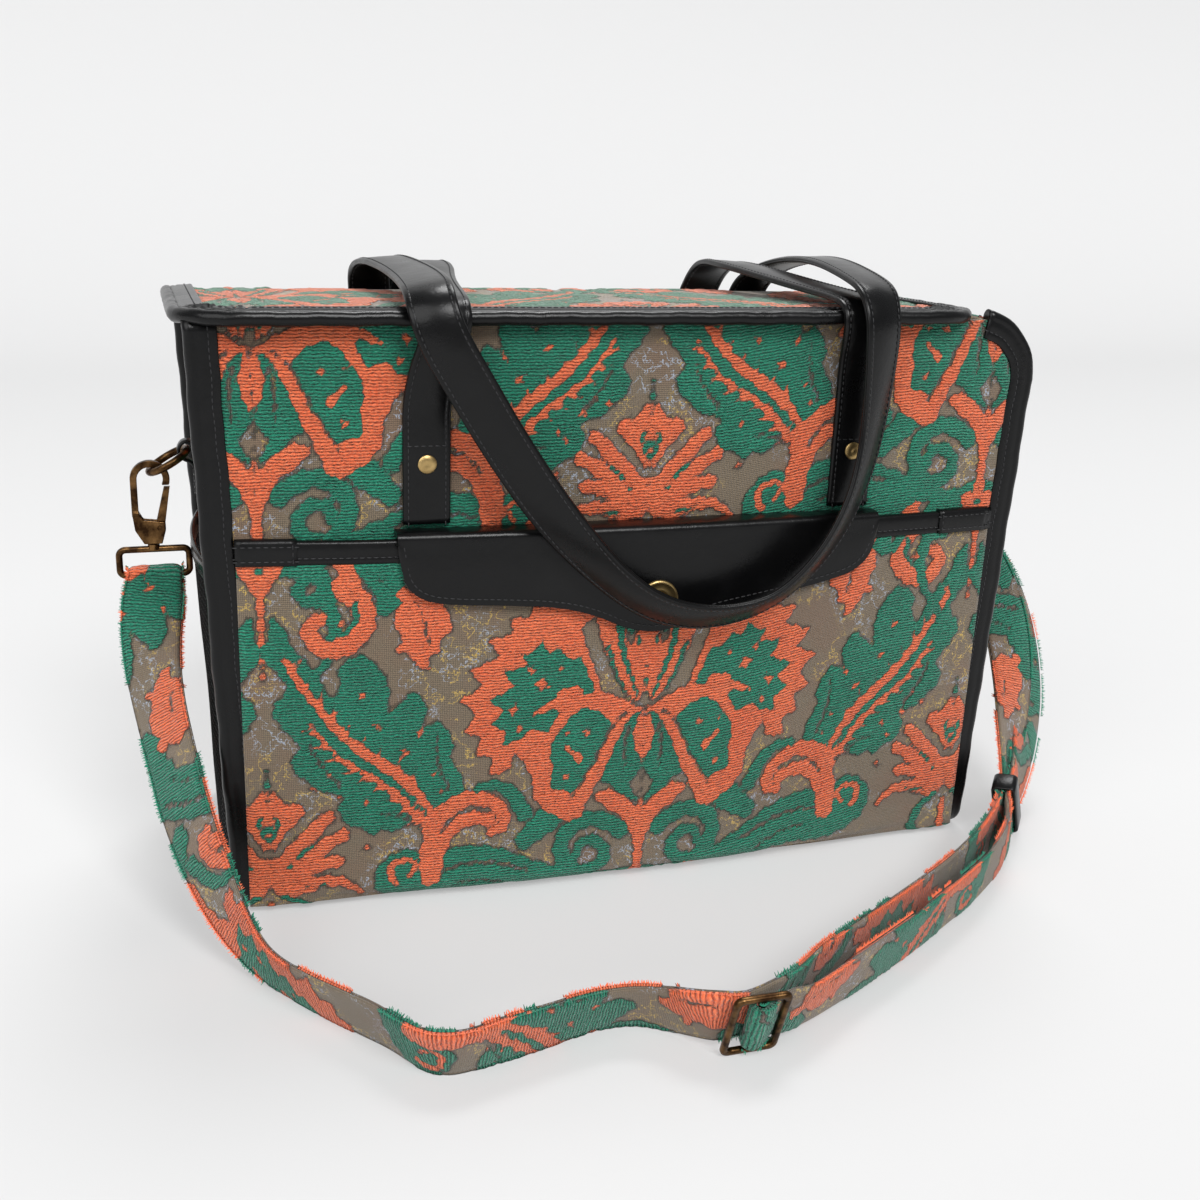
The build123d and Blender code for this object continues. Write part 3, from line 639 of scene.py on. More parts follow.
def sweep(line: np.ndarray, side: np.ndarray, out: np.ndarray, section: Section,
    closed: bool = False) -> tuple[np.ndarray, Faces]:
    """Carry a closed section along a line.

    Args:
        line: the line's points.
        side: the section's first axis at each point.
        out: its second axis.
        section: its corners.
        closed: join the ends.

    Returns:
        The points and faces.
    """
    shape = np.array(section)
    points = line[:, None] + side[:, None] * shape[None, :, :1] + out[:, None] * shape[None, :, 1:]
    rows, columns = len(line), len(shape)
    faces = grid_faces(rows, columns, closed=True)
    if closed:
        last = (rows - 1) * columns
        faces += [(last + c, last + (c + 1) % columns, (c + 1) % columns, c) for c in range(columns)]
    else:
        faces.append(tuple(range(columns))[::-1])
        faces.append(tuple((rows - 1) * columns + c for c in range(columns)))
    area = sum(a[0] * b[1] - b[0] * a[1] for a, b in zip(section, list(section[1:]) + [section[0]]))
    if area * float(np.dot(np.cross(side[0], out[0]), line[1] - line[0])) < 0:
        faces = [f[::-1] for f in faces]
    return points.reshape(-1, 3), faces


def ring_section(radius: float, count: int = 12) -> list[tuple[float, float]]:
    """Round section."""
    return [(radius * math.cos(2 * math.pi * k / count), radius * math.sin(2 * math.pi * k / count))
        for k in range(count)]


def strap_section(width: float, thickness: float, groove: float = 0.35) -> list[tuple[float, float]]:
    """Section of a two-ply leather strap: rounded edges with a parting line and a creased margin.

    Args:
        width: the strap's width.
        thickness: its thickness.
        groove: depth of the parting line.

    Returns:
        The section's corners.
    """
    w, t = width / 2, thickness / 2
    corner = t * 0.8
    face = [(-w + corner, -t), (-w + 2.6, -t), (-w + 3.0, -t * 0.93), (-w + 3.4, -t * 1.04), (0, -t * 1.1)]
    face += [(-x, y) for x, y in face[-2::-1]]
    edge = [(w - corner * 0.3, -t * 0.78), (w, -t * 0.4), (w, -0.12), (w - groove, 0.0), (w, 0.12), (w, t * 0.4),
        (w - corner * 0.3, t * 0.78)]
    half = face + edge
    return half + [(-x, -y) for x, y in half]


# ---- geometry node kit ----------------------------------------------------------------
class Maker:
    """A geometry node tree with named inputs, made into plain meshes."""

    def __init__(self, name: str, inputs: dict[str, tuple[str, float]]) -> None:
        """Start a tree.

        Args:
            name: the tree's name.
            inputs: input name to its socket type and first value.
        """
        self.tree = bpy.data.node_groups.new(name, "GeometryNodeTree")
        face = self.tree.interface
        face.new_socket("Geometry", in_out="OUTPUT", socket_type="NodeSocketGeometry")
        face.new_socket("Geometry", in_out="INPUT", socket_type="NodeSocketGeometry")
        for key, (kind, value) in inputs.items():
            socket = face.new_socket(key, in_out="INPUT", socket_type=kind)
            if value is not None:
                socket.default_value = value
        self.start = self.tree.nodes.new("NodeGroupInput")
        self.end = self.tree.nodes.new("NodeGroupOutput")

    def node(self, kind: str, settings: dict | None = None, values: dict | None = None,
        out: int = 0) -> bpy.types.NodeSocket:
        """Add a node.

        Args:
            kind: the node's type.
            settings: its own settings, set first.
            values: socket name or number to a value or an output socket.
            out: which output is wanted.

        Returns:
            That output.
        """
        node = self.tree.nodes.new(kind)
        for key, value in (settings or {}).items():
            setattr(node, key, value)
        for key, value in (values or {}).items():
            if isinstance(value, bpy.types.NodeSocket):
                self.tree.links.new(value, node.inputs[key])
            else:
                node.inputs[key].default_value = value
        return node.outputs[out]

    def given(self, name: str) -> bpy.types.NodeSocket:
        """One of the tree's inputs."""
        return self.start.outputs[name]

    def finish(self, geometry: bpy.types.NodeSocket) -> None:
        """Realise what was made, give it its material and end the tree."""
        real = self.node("GeometryNodeRealizeInstances", values={0: geometry})
        dressed = self.node("GeometryNodeSetMaterial", values={"Geometry": real, "Material": self.given("Material")})
        self.tree.links.new(dressed, self.end.inputs[0])

    def make(self, name: str, guide: bpy.types.Object, values: dict) -> bpy.types.Object:
        """Run the tree on a guide object, which is used up.

        Args:
            name: the new piece's name.
            guide: the object that the tree starts from.
            values: input name to value.

        Returns:
            The plain mesh's object.
        """
        modifier = guide.modifiers.new(name, "NODES")
        modifier.node_group = self.tree
        for item in self.tree.interface.items_tree:
            if item.item_type == "SOCKET" and item.in_out == "INPUT" and item.name in values:
                modifier[item.identifier] = values[item.name]
        mesh = baked(guide)
        guide.modifiers.remove(modifier)
        bpy.data.objects.remove(guide)
        mesh.name = name
        obj = put(name, mesh)
        return obj


def guide_lines(lines: Iterable[np.ndarray]) -> bpy.types.Object:
    """Open lines as a mesh of edges, for a geometry node tree to follow.

    Args:
        lines: each line's points in millimetres.

    Returns:
        The guide.
    """
    points: list[Sequence[float]] = []
    edges: list[tuple[int, int]] = []
    for line in lines:
        start = len(points)
        points += [tuple(p) for p in np.asarray(line)[:, :3] * MM]
        edges += [(start + k, start + k + 1) for k in range(len(line) - 1)]
    mesh = bpy.data.meshes.new("guide")
    mesh.from_pydata(points, edges, [])
    return put("guide", mesh)


class SeamMaker(Maker):
    """Stitches laid end to end along guide lines."""

    def __init__(self) -> None:
        """Build the tree."""
        number = "NodeSocketFloat"
        super().__init__("seam", {"Pitch": (number, 0.003), "Length": (number, 0.0024), "Radius": (number, 0.0003),
            "Material": ("NodeSocketMaterial", None)})
        curve = self.node("GeometryNodeMeshToCurve", values={0: self.given("Geometry")})
        spaced = self.node("GeometryNodeResampleCurve", {"mode": "LENGTH"},
            {"Curve": curve, "Length": self.given("Pitch")})
        bead = self.node("GeometryNodeMeshUVSphere", values={"Segments": 6, "Rings": 4, "Radius": 1.0})
        tangent = self.node("GeometryNodeInputTangent")
        turn = self.node("FunctionNodeAlignRotationToVector", {"axis": "X"}, {"Vector": tangent})
        half = self.node("ShaderNodeMath", {"operation": "MULTIPLY"}, {0: self.given("Length"), 1: 0.5})
        size = self.node("ShaderNodeCombineXYZ", values={0: half, 1: self.given("Radius"), 2: self.given("Radius")})
        copies = self.node("GeometryNodeInstanceOnPoints", values={"Points": spaced, "Instance": bead, "Rotation":
            turn, "Scale": size})
        self.finish(copies)


class FringeMaker(Maker):
    """Short bent fibres that stand out from a cut carpet edge."""

    def __init__(self) -> None:
        """Build the tree."""
        number = "NodeSocketFloat"
        super().__init__("fringe", {"Length": (number, 0.003), "Radius": (number, 0.0004), "Spread": (number, 0.6),
            "Seed": ("NodeSocketInt", 3), "Material": ("NodeSocketMaterial", None)})
        points = self.node("GeometryNodeMeshToPoints", values={0: self.given("Geometry")})
        fibre = self.node("GeometryNodeMeshCone", values={"Vertices": 4, "Radius Top": 0.35, "Radius Bottom": 1.0,
            "Depth": 1.0})
        out = self.node("GeometryNodeInputNamedAttribute", {"data_type": "FLOAT_VECTOR"}, {"Name": "out"})
        stray = self.node("FunctionNodeRandomValue", {"data_type": "FLOAT_VECTOR"},
            {0: (-1, -1, -1), 1: (1, 1, 1), "Seed": self.given("Seed")})
        bent = self.node("ShaderNodeVectorMath", {"operation": "SCALE"}, {0: stray, "Scale": self.given("Spread")})
        aim = self.node("ShaderNodeVectorMath", {"operation": "ADD"}, {0: out, 1: bent})
        turn = self.node("FunctionNodeAlignRotationToVector", {"axis": "Z"}, {"Vector": aim})
        vary = self.node("FunctionNodeRandomValue", {"data_type": "FLOAT"},
            {2: 0.45, 3: 1.25, "Seed": self.given("Seed")}, 1)
        long = self.node("ShaderNodeMath", {"operation": "MULTIPLY"}, {0: self.given("Length"), 1: vary})
        size = self.node("ShaderNodeCombineXYZ", values={0: self.given("Radius"), 1: self.given("Radius"), 2: long})
        copies = self.node("GeometryNodeInstanceOnPoints", values={"Points": points, "Instance": fibre, "Rotation":
            turn, "Scale": size})
        self.finish(copies)


class NetMaker(Maker):
    """Knitted net: the hexagons between the points of a triangle grid."""

    def __init__(self) -> None:
        """Build the tree."""
        super().__init__("net", {"Radius": ("NodeSocketFloat", 0.0003), "Material": ("NodeSocketMaterial", None)})
        cells = self.node("GeometryNodeDualMesh", values={0: self.given("Geometry")})
        lines = self.node("GeometryNodeMeshToCurve", values={0: cells})
        section = self.node("GeometryNodeCurvePrimitiveCircle",
            values={"Resolution": 3, "Radius": self.given("Radius")})
        strands = self.node("GeometryNodeCurveToMesh", values={"Curve": lines, "Profile Curve": section})
        self.finish(strands)


# ---- the carpet's pattern -------------------------------------------------------------
class Tone(Enum):
    """What a part of the pattern is woven in."""

    CORAL = "coral"
    GREEN = "green"
    GROUND = "ground"


@dataclass(frozen=True)
class Patch:
    """A filled outline."""

    tone: Tone
    outline: tuple[tuple[float, float], ...]
    rounds: int = 1

    def depth(self, x: np.ndarray, z: np.ndarray) -> np.ndarray:
        """How far inside the outline each place is."""
        points = list(self.outline)
        for _ in range(self.rounds):
            pairs = zip(points, points[1:] + points[:1])
            points = [p for a, b in pairs for p in (blend_pair(a, b, 0.25), blend_pair(a, b, 0.75))]
        nearest = np.full(x.shape, 1e9)
        inside = np.zeros(x.shape, bool)
        for (x0, z0), (x1, z1) in zip(points, points[1:] + points[:1]):
            dx, dz = x1 - x0, z1 - z0
            t = np.clip(((x - x0) * dx + (z - z0) * dz) / (dx * dx + dz * dz + 1e-9), 0, 1)
            nearest = np.minimum(nearest, (x - x0 - t * dx) ** 2 + (z - z0 - t * dz) ** 2)
            if z0 != z1:
                inside ^= ((z0 > z) != (z1 > z)) & (x < x0 + (z - z0) * dx / dz)
        return np.where(inside, 1, -1) * np.sqrt(nearest)

    def box(self) -> tuple[float, float, float, float]:
        """The outline's low and high corners."""
        spots = np.array(self.outline)
        return (*spots.min(0), *spots.max(0))


@dataclass(frozen=True)
class Vine:
    """A line that swells or thins along its way."""

    tone: Tone
    way: tuple[tuple[float, float], ...]
    start: float
    end: float

    def depth(self, x: np.ndarray, z: np.ndarray) -> np.ndarray:
        """How far inside the line each place is."""
        points = list(self.way)
        for _ in range(2 if len(points) > 2 else 0):
            inner = [p for a, b in zip(points, points[1:]) for p in (blend_pair(a, b, 0.25), blend_pair(a, b, 0.75))]
            points = [points[0], *inner[1:-1], points[-1]]
        best = np.full(x.shape, -99.0)
        count = len(points) - 1
        for k, ((x0, z0), (x1, z1)) in enumerate(zip(points, points[1:])):
            dx, dz = x1 - x0, z1 - z0
            t = np.clip(((x - x0) * dx + (z - z0) * dz) / (dx * dx + dz * dz + 1e-9), 0, 1)
            radius = self.start + (self.end - self.start) * (k + t) / count
            best = np.maximum(best, radius - np.hypot(x - x0 - t * dx, z - z0 - t * dz))
        return best

    def box(self) -> tuple[float, float, float, float]:
        """The line's low and high corners."""
        spots = np.array(self.way)
        widest = max(self.start, self.end)
        return (*(spots.min(0) - widest), *(spots.max(0) + widest))


def blend_pair(a: tuple[float, float], b: tuple[float, float], share: float) -> tuple[float, float]:
    """The place that share of the way from a to b."""
    return (a[0] + (b[0] - a[0]) * share, a[1] + (b[1] - a[1]) * share)


def star(tone: Tone, x: float, z: float, size: float, lean: float = 0.0) -> Patch:
    """A small four-pointed fleck."""
    spots = []
    for k in range(8):
        reach = size if k % 2 == 0 else size * 0.42
        angle = lean + k * math.pi / 4
        spots.append((x + reach * math.cos(angle), z + reach * math.sin(angle)))
    return Patch(tone, tuple(spots), 0)


def barbs(tone: Tone, way: Sequence[tuple[float, float]], reach: float, side: int, count: int) -> list[Vine]:
    """Short strokes that feather one side of a line.

    Args:
        tone: what they are woven in.
        way: the line.
        reach: how long they are.
        side: 1 for its left, -1 for its right.
        count: how many there are.

    Returns:
        The strokes.
    """
    spots = np.array(way, float)
    length = np.concatenate([[0], np.cumsum(np.hypot(*np.diff(spots, axis=0).T))])
    strokes = []
    for k in range(count):
        at = length[-1] * (k + 0.6) / (count + 0.4)
        x, z = np.interp(at, length, spots[:, 0]), np.interp(at, length, spots[:, 1])
        ahead = np.array([np.interp(at + 1, length, spots[:, 0]) - x, np.interp(at + 1, length, spots[:, 1]) - z])
        ahead = ahead / max(np.hypot(*ahead), 1e-6)
        aside = np.array([-ahead[1], ahead[0]]) * side
        tip = (x + reach * (0.75 * aside[0] + 0.66 * ahead[0]), z + reach * (0.75 * aside[1] + 0.66 * ahead[1]))
        strokes.append(Vine(tone, ((x, z), tip), 1.3, 0.35))
    return strokes


C, G, N = Tone.CORAL, Tone.GREEN, Tone.GROUND
RIB = ((105, 40), (112, 58), (124, 72), (138, 82), (150, 94), (160, 108), (168, 120), (174, 132))
THIN_RIB = ((108, 38), (120, 56), (132, 68), (148, 78), (158, 90), (164, 100))
SCROLLS = (
    Patch(G, ((0, 11), (14, 3), (30, 6), (46, 14), (60, 20), (75, 28), (95, 30), (106, 24), (118, 31), (131, 25),
        (136, 12), (128, 0), (108, -5), (84, 2), (60, -4), (34, 0), (16, -8), (0, -4))),
    Vine(G, ((10, 30), (20, 38), (32, 38), (40, 30), (42, 20), (36, 10), (24, 8), (17, 15), (20, 24), (28, 27),
        (32, 20)), 4.6, 3.0),
    Patch(G, ((45, 53), (37, 45), (42, 36), (50, 30), (62, 22), (66, 30), (56, 42))),
    Vine(N, ((58, 12), (74, 19), (92, 20), (104, 14)), 1.3, 0.8),
    Vine(N, ((66, 3), (80, 10), (94, 9)), 1.0, 0.7), Vine(N, ((24, 16), (30, 20), (26, 23)), 1.6, 1.0),
    Vine(C, ((124, 12), (128, 18), (124, 24), (116, 24), (114, 18), (118, 15)), 1.9, 1.2),
)
ACANTHUS = (
    Patch(G, ((108, 33), (112, 40), (118, 45), (123, 39), (130, 42), (136, 38), (141, 44), (148, 45), (152, 54),
        (147, 61), (158, 63), (167, 70), (174, 79), (167, 88), (175, 95), (182, 108), (172, 116), (178, 126),
        (188, 138), (176, 142), (166, 134), (156, 116), (148, 100), (134, 88), (120, 78), (110, 62), (104, 46))),
    Patch(G, ((106, 42), (98, 50), (90, 58), (92, 68), (98, 76), (95, 86), (104, 99), (111, 92), (108, 106),
        (115, 114), (122, 107), (129, 101), (126, 110), (128, 122), (137, 133), (145, 132), (151, 125), (148, 117),
        (155, 110), (160, 104), (150, 92), (138, 82), (124, 70), (114, 58))),
    Vine(C, RIB, 3.4, 1.6), Vine(C, THIN_RIB, 2.2, 0.9), *barbs(C, RIB[1:], 9.0, 1, 9),
    *barbs(C, THIN_RIB, 8.0, -1, 9),
    Vine(G, ((109, 48), (118, 61), (130, 71), (146, 82), (158, 96)), 0.9, 0.7),
    star(C, 119, 82, 3.6, 0.5), star(C, 112, 92, 3.0, 0.2), star(C, 106, 70, 2.8, 0.9), star(C, 132, 96, 3.0, 0.3),
    star(C, 139, 112, 3.2, 0.6), star(C, 102, 60, 2.2), star(C, 155, 72, 2.6, 0.4), star(C, 138, 56, 2.6, 0.2),
    Vine(N, ((112, 42), (122, 48), (132, 50)), 1.0, 0.6), Vine(N, ((150, 66), (160, 78), (164, 88)), 1.0, 0.6),
    Vine(N, ((98, 60), (104, 76), (104, 90)), 1.0, 0.6),
    Vine(C, ((107, 14), (105, 28), (98, 40), (86, 45), (78, 42)), 5.2, 3.4),
    Vine(C, ((106, 42), (99, 51), (88, 56), (77, 53), (70, 45), (71, 37), (77, 36)), 4.8, 2.6),
    Vine(C, ((108, 12), (110, 26), (106, 40)), 3.6, 3.0),
    Vine(N, ((102, 38), (94, 48), (84, 49), (78, 47)), 1.0, 0.7),
    Vine(G, ((60, 44), (66, 56), (76, 62), (84, 60)), 4.2, 2.2),
)
FLAME = (
    Patch(C, ((125, 150), (119, 160), (112, 166), (104, 163), (100, 154), (96, 144), (102, 140), (103, 132),
        (109, 130), (106, 124), (113, 124), (118, 134), (123, 146))),
    Vine(C, ((146, 166), (139, 158), (137, 148), (143, 139), (153, 135), (161, 139), (164, 147), (158, 151)), 6.2,
        3.4),
    Vine(G, ((142, 158), (141, 149), (147, 143), (155, 142)), 1.5, 1.0),
    Patch(C, ((146, 163), (150, 176), (160, 188), (150, 186), (142, 178), (138, 166))),
    Patch(G, ((122, 166), (132, 176), (134, 190), (126, 196), (118, 186), (114, 174))),
    Vine(G, ((128, 160), (136, 172), (148, 190), (152, 206)), 3.4, 1.8),
    Vine(N, ((108, 136), (110, 148), (114, 158)), 1.0, 0.6),
)
FAN = (
    Patch(C, ((20, 100), (26, 118), (30, 128), (34, 140), (24, 150), (34, 152), (40, 159), (48, 152), (58, 155),
        (60, 147), (70, 148), (67, 140), (80, 137), (74, 129), (89, 122), (82, 114), (93, 107), (85, 99), (91, 91),
        (82, 86), (86, 78), (77, 76), (78, 66), (68, 69), (66, 78), (60, 70), (57, 79), (50, 71), (47, 84), (40, 98)),
        0),
    Patch(G, ((24, 103), (30, 116), (34, 126), (40, 125), (46, 132), (50, 128), (54, 136), (58, 129), (64, 130),
        (60, 123), (73, 121), (67, 113), (79, 107), (72, 100), (78, 93), (70, 90), (73, 82), (63, 85), (58, 91),
        (50, 87), (44, 99), (34, 105)), 0),
    Patch(C, ((30, 108), (38, 112), (48, 107), (46, 98), (40, 101)), 1),
    Patch(C, ((40, 103), (52, 98), (60, 96), (50, 105)), 1), star(C, 53, 113, 5.0, 0.4), star(C, 67, 101, 3.8, 0.1),
    star(C, 64, 91, 3.0, 0.6), star(C, 44, 121, 3.0, 0.3), star(C, 58, 121, 2.8, 0.2), star(C, 74, 110, 2.4, 0.8),
    Patch(N, ((38, 98), (45, 92), (50, 82), (48, 78), (42, 88)), 1),
    Patch(C, ((6, 98), (14, 104), (25, 107), (38, 106), (46, 100), (43, 93), (50, 88), (57, 79), (61, 70), (56, 63),
        (57, 53), (50, 45), (42, 40), (36, 37), (30, 42), (27, 52), (22, 60), (18, 70), (14, 80), (8, 92), (0, 97))),
    Patch(G, ((34, 99), (40, 93), (45, 87), (49, 77), (46, 67), (49, 58), (42, 56), (36, 53), (31, 62), (24, 70),
        (21, 80), (16, 89), (22, 95), (28, 99)), 1),
    Vine(C, ((33, 72), (40, 79)), 2.0, 1.5), star(C, 40, 63, 3.4, 0.78), star(C, 30, 86, 3.2, 0.5),
    star(C, 40, 87, 2.4, 0.1),
    Vine(N, ((10, 95), (17, 88), (24, 74), (31, 60), (37, 50)), 0.9, 0.6),
)
HEART = (
    Patch(G, ((0, 98), (7, 95), (12, 90), (16, 79), (19, 68), (23, 60), (15, 55), (8, 48), (0, 45))),
    Patch(N, ((0, 68), (3, 60), (7, 56), (4, 50), (0, 48)), 1), Vine(N, ((8, 88), (10, 76), (9, 64)), 1.1, 0.7),
    Patch(C, ((0, 99), (4, 90), (6, 82), (3, 72), (0, 66))),
    Patch(C, ((26, 50), (20, 55), (12, 52), (6, 47), (3, 41), (0, 50), (0, 20), (3, 24), (8, 36), (17, 43)), 1),
    Vine(C, ((0, 24), (0, 12), (2, 2)), 2.6, 1.6),
    Patch(C, ((0, 99), (9, 103), (14, 112), (21, 125), (25, 138), (27, 150), (20, 153), (13, 150), (12, 140),
        (9, 128), (4, 140), (0, 151))),
    Vine(G, ((4, 103), (8, 114), (13, 128), (15, 142)), 0.8, 1.7),
    Vine(G, ((0, 104), (0, 118)), 1.0, 0.7), Vine(G, ((10, 105), (16, 116), (20, 130)), 0.7, 1.2),
    star(G, 5, 132, 3.0, 0.3),
    Patch(G, ((0, 148), (6, 140), (10, 134), (13, 150), (9, 163), (0, 170))),
    Vine(C, ((0, 158), (0, 172), (0, 186)), 2.6, 1.8),
    Vine(G, ((14, 158), (20, 170), (16, 184), (6, 190)), 3.2, 1.8),
)
STEM = (
    Patch(C, ((-13, 2), (13, 2), (8, -6), (3, -14), (0, -20), (-3, -14), (-8, -6)), 1),
    star(G, 0, -3, 3.2, 0.78), Vine(C, ((0, -14), (0, -40), (0, -56)), 1.8, 0.8),
    Vine(G, ((16, 0), (26, -4), (30, -14), (22, -20), (15, -13), (20, -8)), 4.4, 2.6),
    Vine(G, ((40, 2), (52, -2), (62, -10), (60, -22), (50, -24), (46, -16)), 4.6, 2.8),
    Patch(G, ((4, -24), (10, -30), (14, -42), (10, -58), (5, -46), (3, -34))),
    Vine(G, ((30, -18), (34, -34), (28, -50), (18, -62)), 3.6, 1.8),
    star(C, 36, -30, 3.0, 0.2),
    Vine(C, ((64, -16), (72, -28), (70, -40), (62, -44)), 3.0, 1.8),
)
FLORET = (
    Patch(C, ((0, 192), (8, 194), (12, 201), (10, 208), (4, 212), (0, 212)), 1),
    Patch(C, ((0, 214), (4, 218), (7, 225), (13, 229), (18, 236), (13, 242), (8, 238), (6, 245), (0, 248)), 1),
    Vine(G, ((0, 220), (5, 228), (3, 234)), 1.2, 0.9), star(G, 0, 228, 4.0, 0.78),
    Vine(C, ((8, 210), (18, 222), (28, 232)), 4.4, 3.4), Vine(C, ((12, 206), (24, 216), (35, 222)), 4.2, 3.2),
    Vine(C, ((12, 202), (22, 207), (32, 208)), 4.0, 3.2), Vine(G, ((13, 211), (20, 218)), 1.4, 0.9),
    star(G, 10, 207, 3.0, 0.2),
    Vine(C, ((8, 193), (20, 197), (34, 198), (43, 190)), 4.6, 1.8),
    Vine(G, ((14, 194), (26, 196)), 1.0, 0.7), star(C, 34, 243, 3.0), star(C, 22, 248, 2.6, 0.5),
    star(C, 42, 231, 2.6, 0.3), star(C, 46, 214, 2.6, 0.2), Vine(G, ((0, 250), (0, 258)), 1.2, 0.6),
)
MOTIF: tuple[Patch | Vine, ...] = (*SCROLLS, *ACANTHUS, *FLAME, *STEM, *FLORET, *HEART, *FAN)


@dataclass
class CarpetPattern:
    """A half-drop damask: one mirrored motif, repeated on two sets of columns."""

    first_column: float = 1.0
    column_gap: float = 184.0
    drop: float = 178.0
    repeat: float = 360.0
    reach: float = 8.0
    skew: float = 17.0

    def skewed(self, x: np.ndarray, z: np.ndarray) -> np.ndarray:
        """The pattern's height on the front, whose cloth runs a little off the straight on the right."""
        t = np.clip((x - 20) / 130, 0, 1)
        return z - self.skew * t * t * (3 - 2 * t)

    def numbers(self, x: np.ndarray, z: np.ndarray) -> dict[str, np.ndarray]:
        """How far inside the coral and the green each place of the cloth is.

        Args:
            x: distance across the cloth.
            z: distance along it.

        Returns:
            The two sets of depths by name.
        """
        shape = x.shape
        x, z = x.ravel(), z.ravel()
        depths = {tone: np.full(x.shape, -self.reach) for tone in (Tone.CORAL, Tone.GREEN)}
        first, last = (int(math.floor((v - self.first_column) / self.column_gap))
            for v in (x.min() - 190, x.max() + 190))
        for column in range(first, last + 2):
            centre = self.first_column + column * self.column_gap
            lift = self.drop if column % 2 else 0.0
            low, high = (int(math.floor((v - lift) / self.repeat)) for v in (z.min() - 262, z.max() + 80))
            for turn in range(low, high + 2):
                self.paint(depths, np.abs(x - centre), z - lift - turn * self.repeat)
        return {tone.value: values.reshape(shape) for tone, values in depths.items()}

    def paint(self, depths: dict[Tone, np.ndarray], u: np.ndarray, v: np.ndarray) -> None:
        """Lay one motif over what is there.

        Args:
            depths: the depths so far, changed in place.
            u: distance from the motif's axis.
            v: height above its foot.
        """
        near = np.flatnonzero((u < 200) & (v > -80) & (v < 262))
        if not len(near):
            return
        u, v = u[near], v[near]
        u, v = (u + 0.5 * np.sin(v * 0.72 + 0.31 * u) + 0.35 * np.sin(v * 1.63 - 0.87 * u),
                v + 0.6 * np.sin(u * 0.79 - 0.27 * v) + 0.35 * np.sin(u * 1.81 + 0.77 * v))
        for shape in MOTIF:
            x0, z0, x1, z1 = shape.box()
            r = self.reach
            pick = np.flatnonzero((u > x0 - r) & (u < x1 + r) & (v > z0 - r) & (v < z1 + r))
            if not len(pick):
                continue
            deep = shape.depth(u[pick], v[pick])
            spot = near[pick]
            for tone, values in depths.items():
                if tone is shape.tone:
                    values[spot] = np.maximum(values[spot], deep)
                else:
                    values[spot] = np.minimum(values[spot], np.maximum(-deep, -r))


PATTERN = CarpetPattern()


# ---- the bag's own shape --------------------------------------------------------------
@dataclass(frozen=True)
class BagShape:
    """The sizes that every piece on the body shares."""

    half_base: float = 199.0
    lean: float = 11.0 / 290.0
    half_depth: float = 70.0
    bow: float = 4.0
    pocket_bow: float = 14.0
    height: float = 286.0
    crown: float = 290.0
    lid_drop: float = 6.0
    shoulder: float = 36.0
    foot: float = 12.0

    def half_width(self, z: np.ndarray, inset: float = 0.0) -> np.ndarray:
        """Half the width at a height, without the right shoulder."""
        return self.half_base + self.lean * np.asarray(z, float) - inset

    def corner(self, inset: float = 0.0) -> tuple[float, float, float]:
        """The right shoulder's centre, across and up, and its radius."""
        radius = self.shoulder - inset
        return float(self.half_width(self.crown, inset)) - radius - 1.0, self.crown - inset - radius, radius

    def right_edge(self, z: np.ndarray, inset: float = 0.0) -> np.ndarray:
        """The right edge at a height, with the shoulder's curve."""
        z = np.asarray(z, float)
        centre_x, centre_z, radius = self.corner(inset)
        arc = centre_x + np.sqrt(np.clip(radius ** 2 - np.clip(z - centre_z, 0, radius) ** 2, 0, None))
        return np.minimum(self.half_width(z, inset), arc)

    def inside(self, x: np.ndarray, z: np.ndarray) -> np.ndarray:
        """How far inside the left and right edges a place on the front is."""
        centre_x, centre_z, radius = self.corner()
        edge = self.half_width(z) - np.abs(x)
        corner = radius - np.hypot(x - centre_x, z - centre_z)
        return np.where((x > centre_x) & (z > centre_z), np.minimum(corner, edge), edge)

    def face(self, x: np.ndarray, bow: float | None = None) -> np.ndarray:
        """How far the front or back stands from the middle plane, at x."""
        bow = self.bow if bow is None else bow
        return self.half_depth + bow * (1 - (np.asarray(x, float) / 210.0) ** 2)


BAG = BagShape()
LID_TILT = -math.atan(BAG.lid_drop / (2 * BAG.half_depth))
LID_PLACE = np.array([0.0, -BAG.half_depth, BAG.height])


def on_lid(points: np.ndarray) -> np.ndarray:
    """Turn points given on the lid, whose y is 0 over the body's front, into places on the bag."""
    points = np.asarray(points, float)
    c, s = math.cos(LID_TILT), math.sin(LID_TILT)
    y, z = points[..., 1], points[..., 2]
    return np.stack([points[..., 0], y * c - z * s, y * s + z * c], -1) + LID_PLACE


def lid_track(inset: float, height: float, spacing: float = 3.0, back: float = 141.0) -> np.ndarray:
    """The lid's edge from the left hinge corner round the front to the right one.

    Args:
        inset: how far inside the middle of the piping.
        height: above the lid's underside.
        spacing: between points.
        back: where it ends.

    Returns:
        The points on the lid.
    """
    left, right, front, radius = -213.0 + inset, 172.0 - inset, -10.0 + inset, max(28.0 - inset, 1.0)
    turns = np.linspace(0, math.pi / 2, 12)
    first = [(left + radius * (1 - math.cos(a)), front + radius * (1 - math.sin(a))) for a in turns]
    last = [(right - radius * (1 - math.sin(a)), front + radius * (1 - math.cos(a))) for a in turns]
    track = np.array([(left, back), *first, *last, (right, back)])
    return resample(np.column_stack([track, np.full(len(track), height)]), spacing)


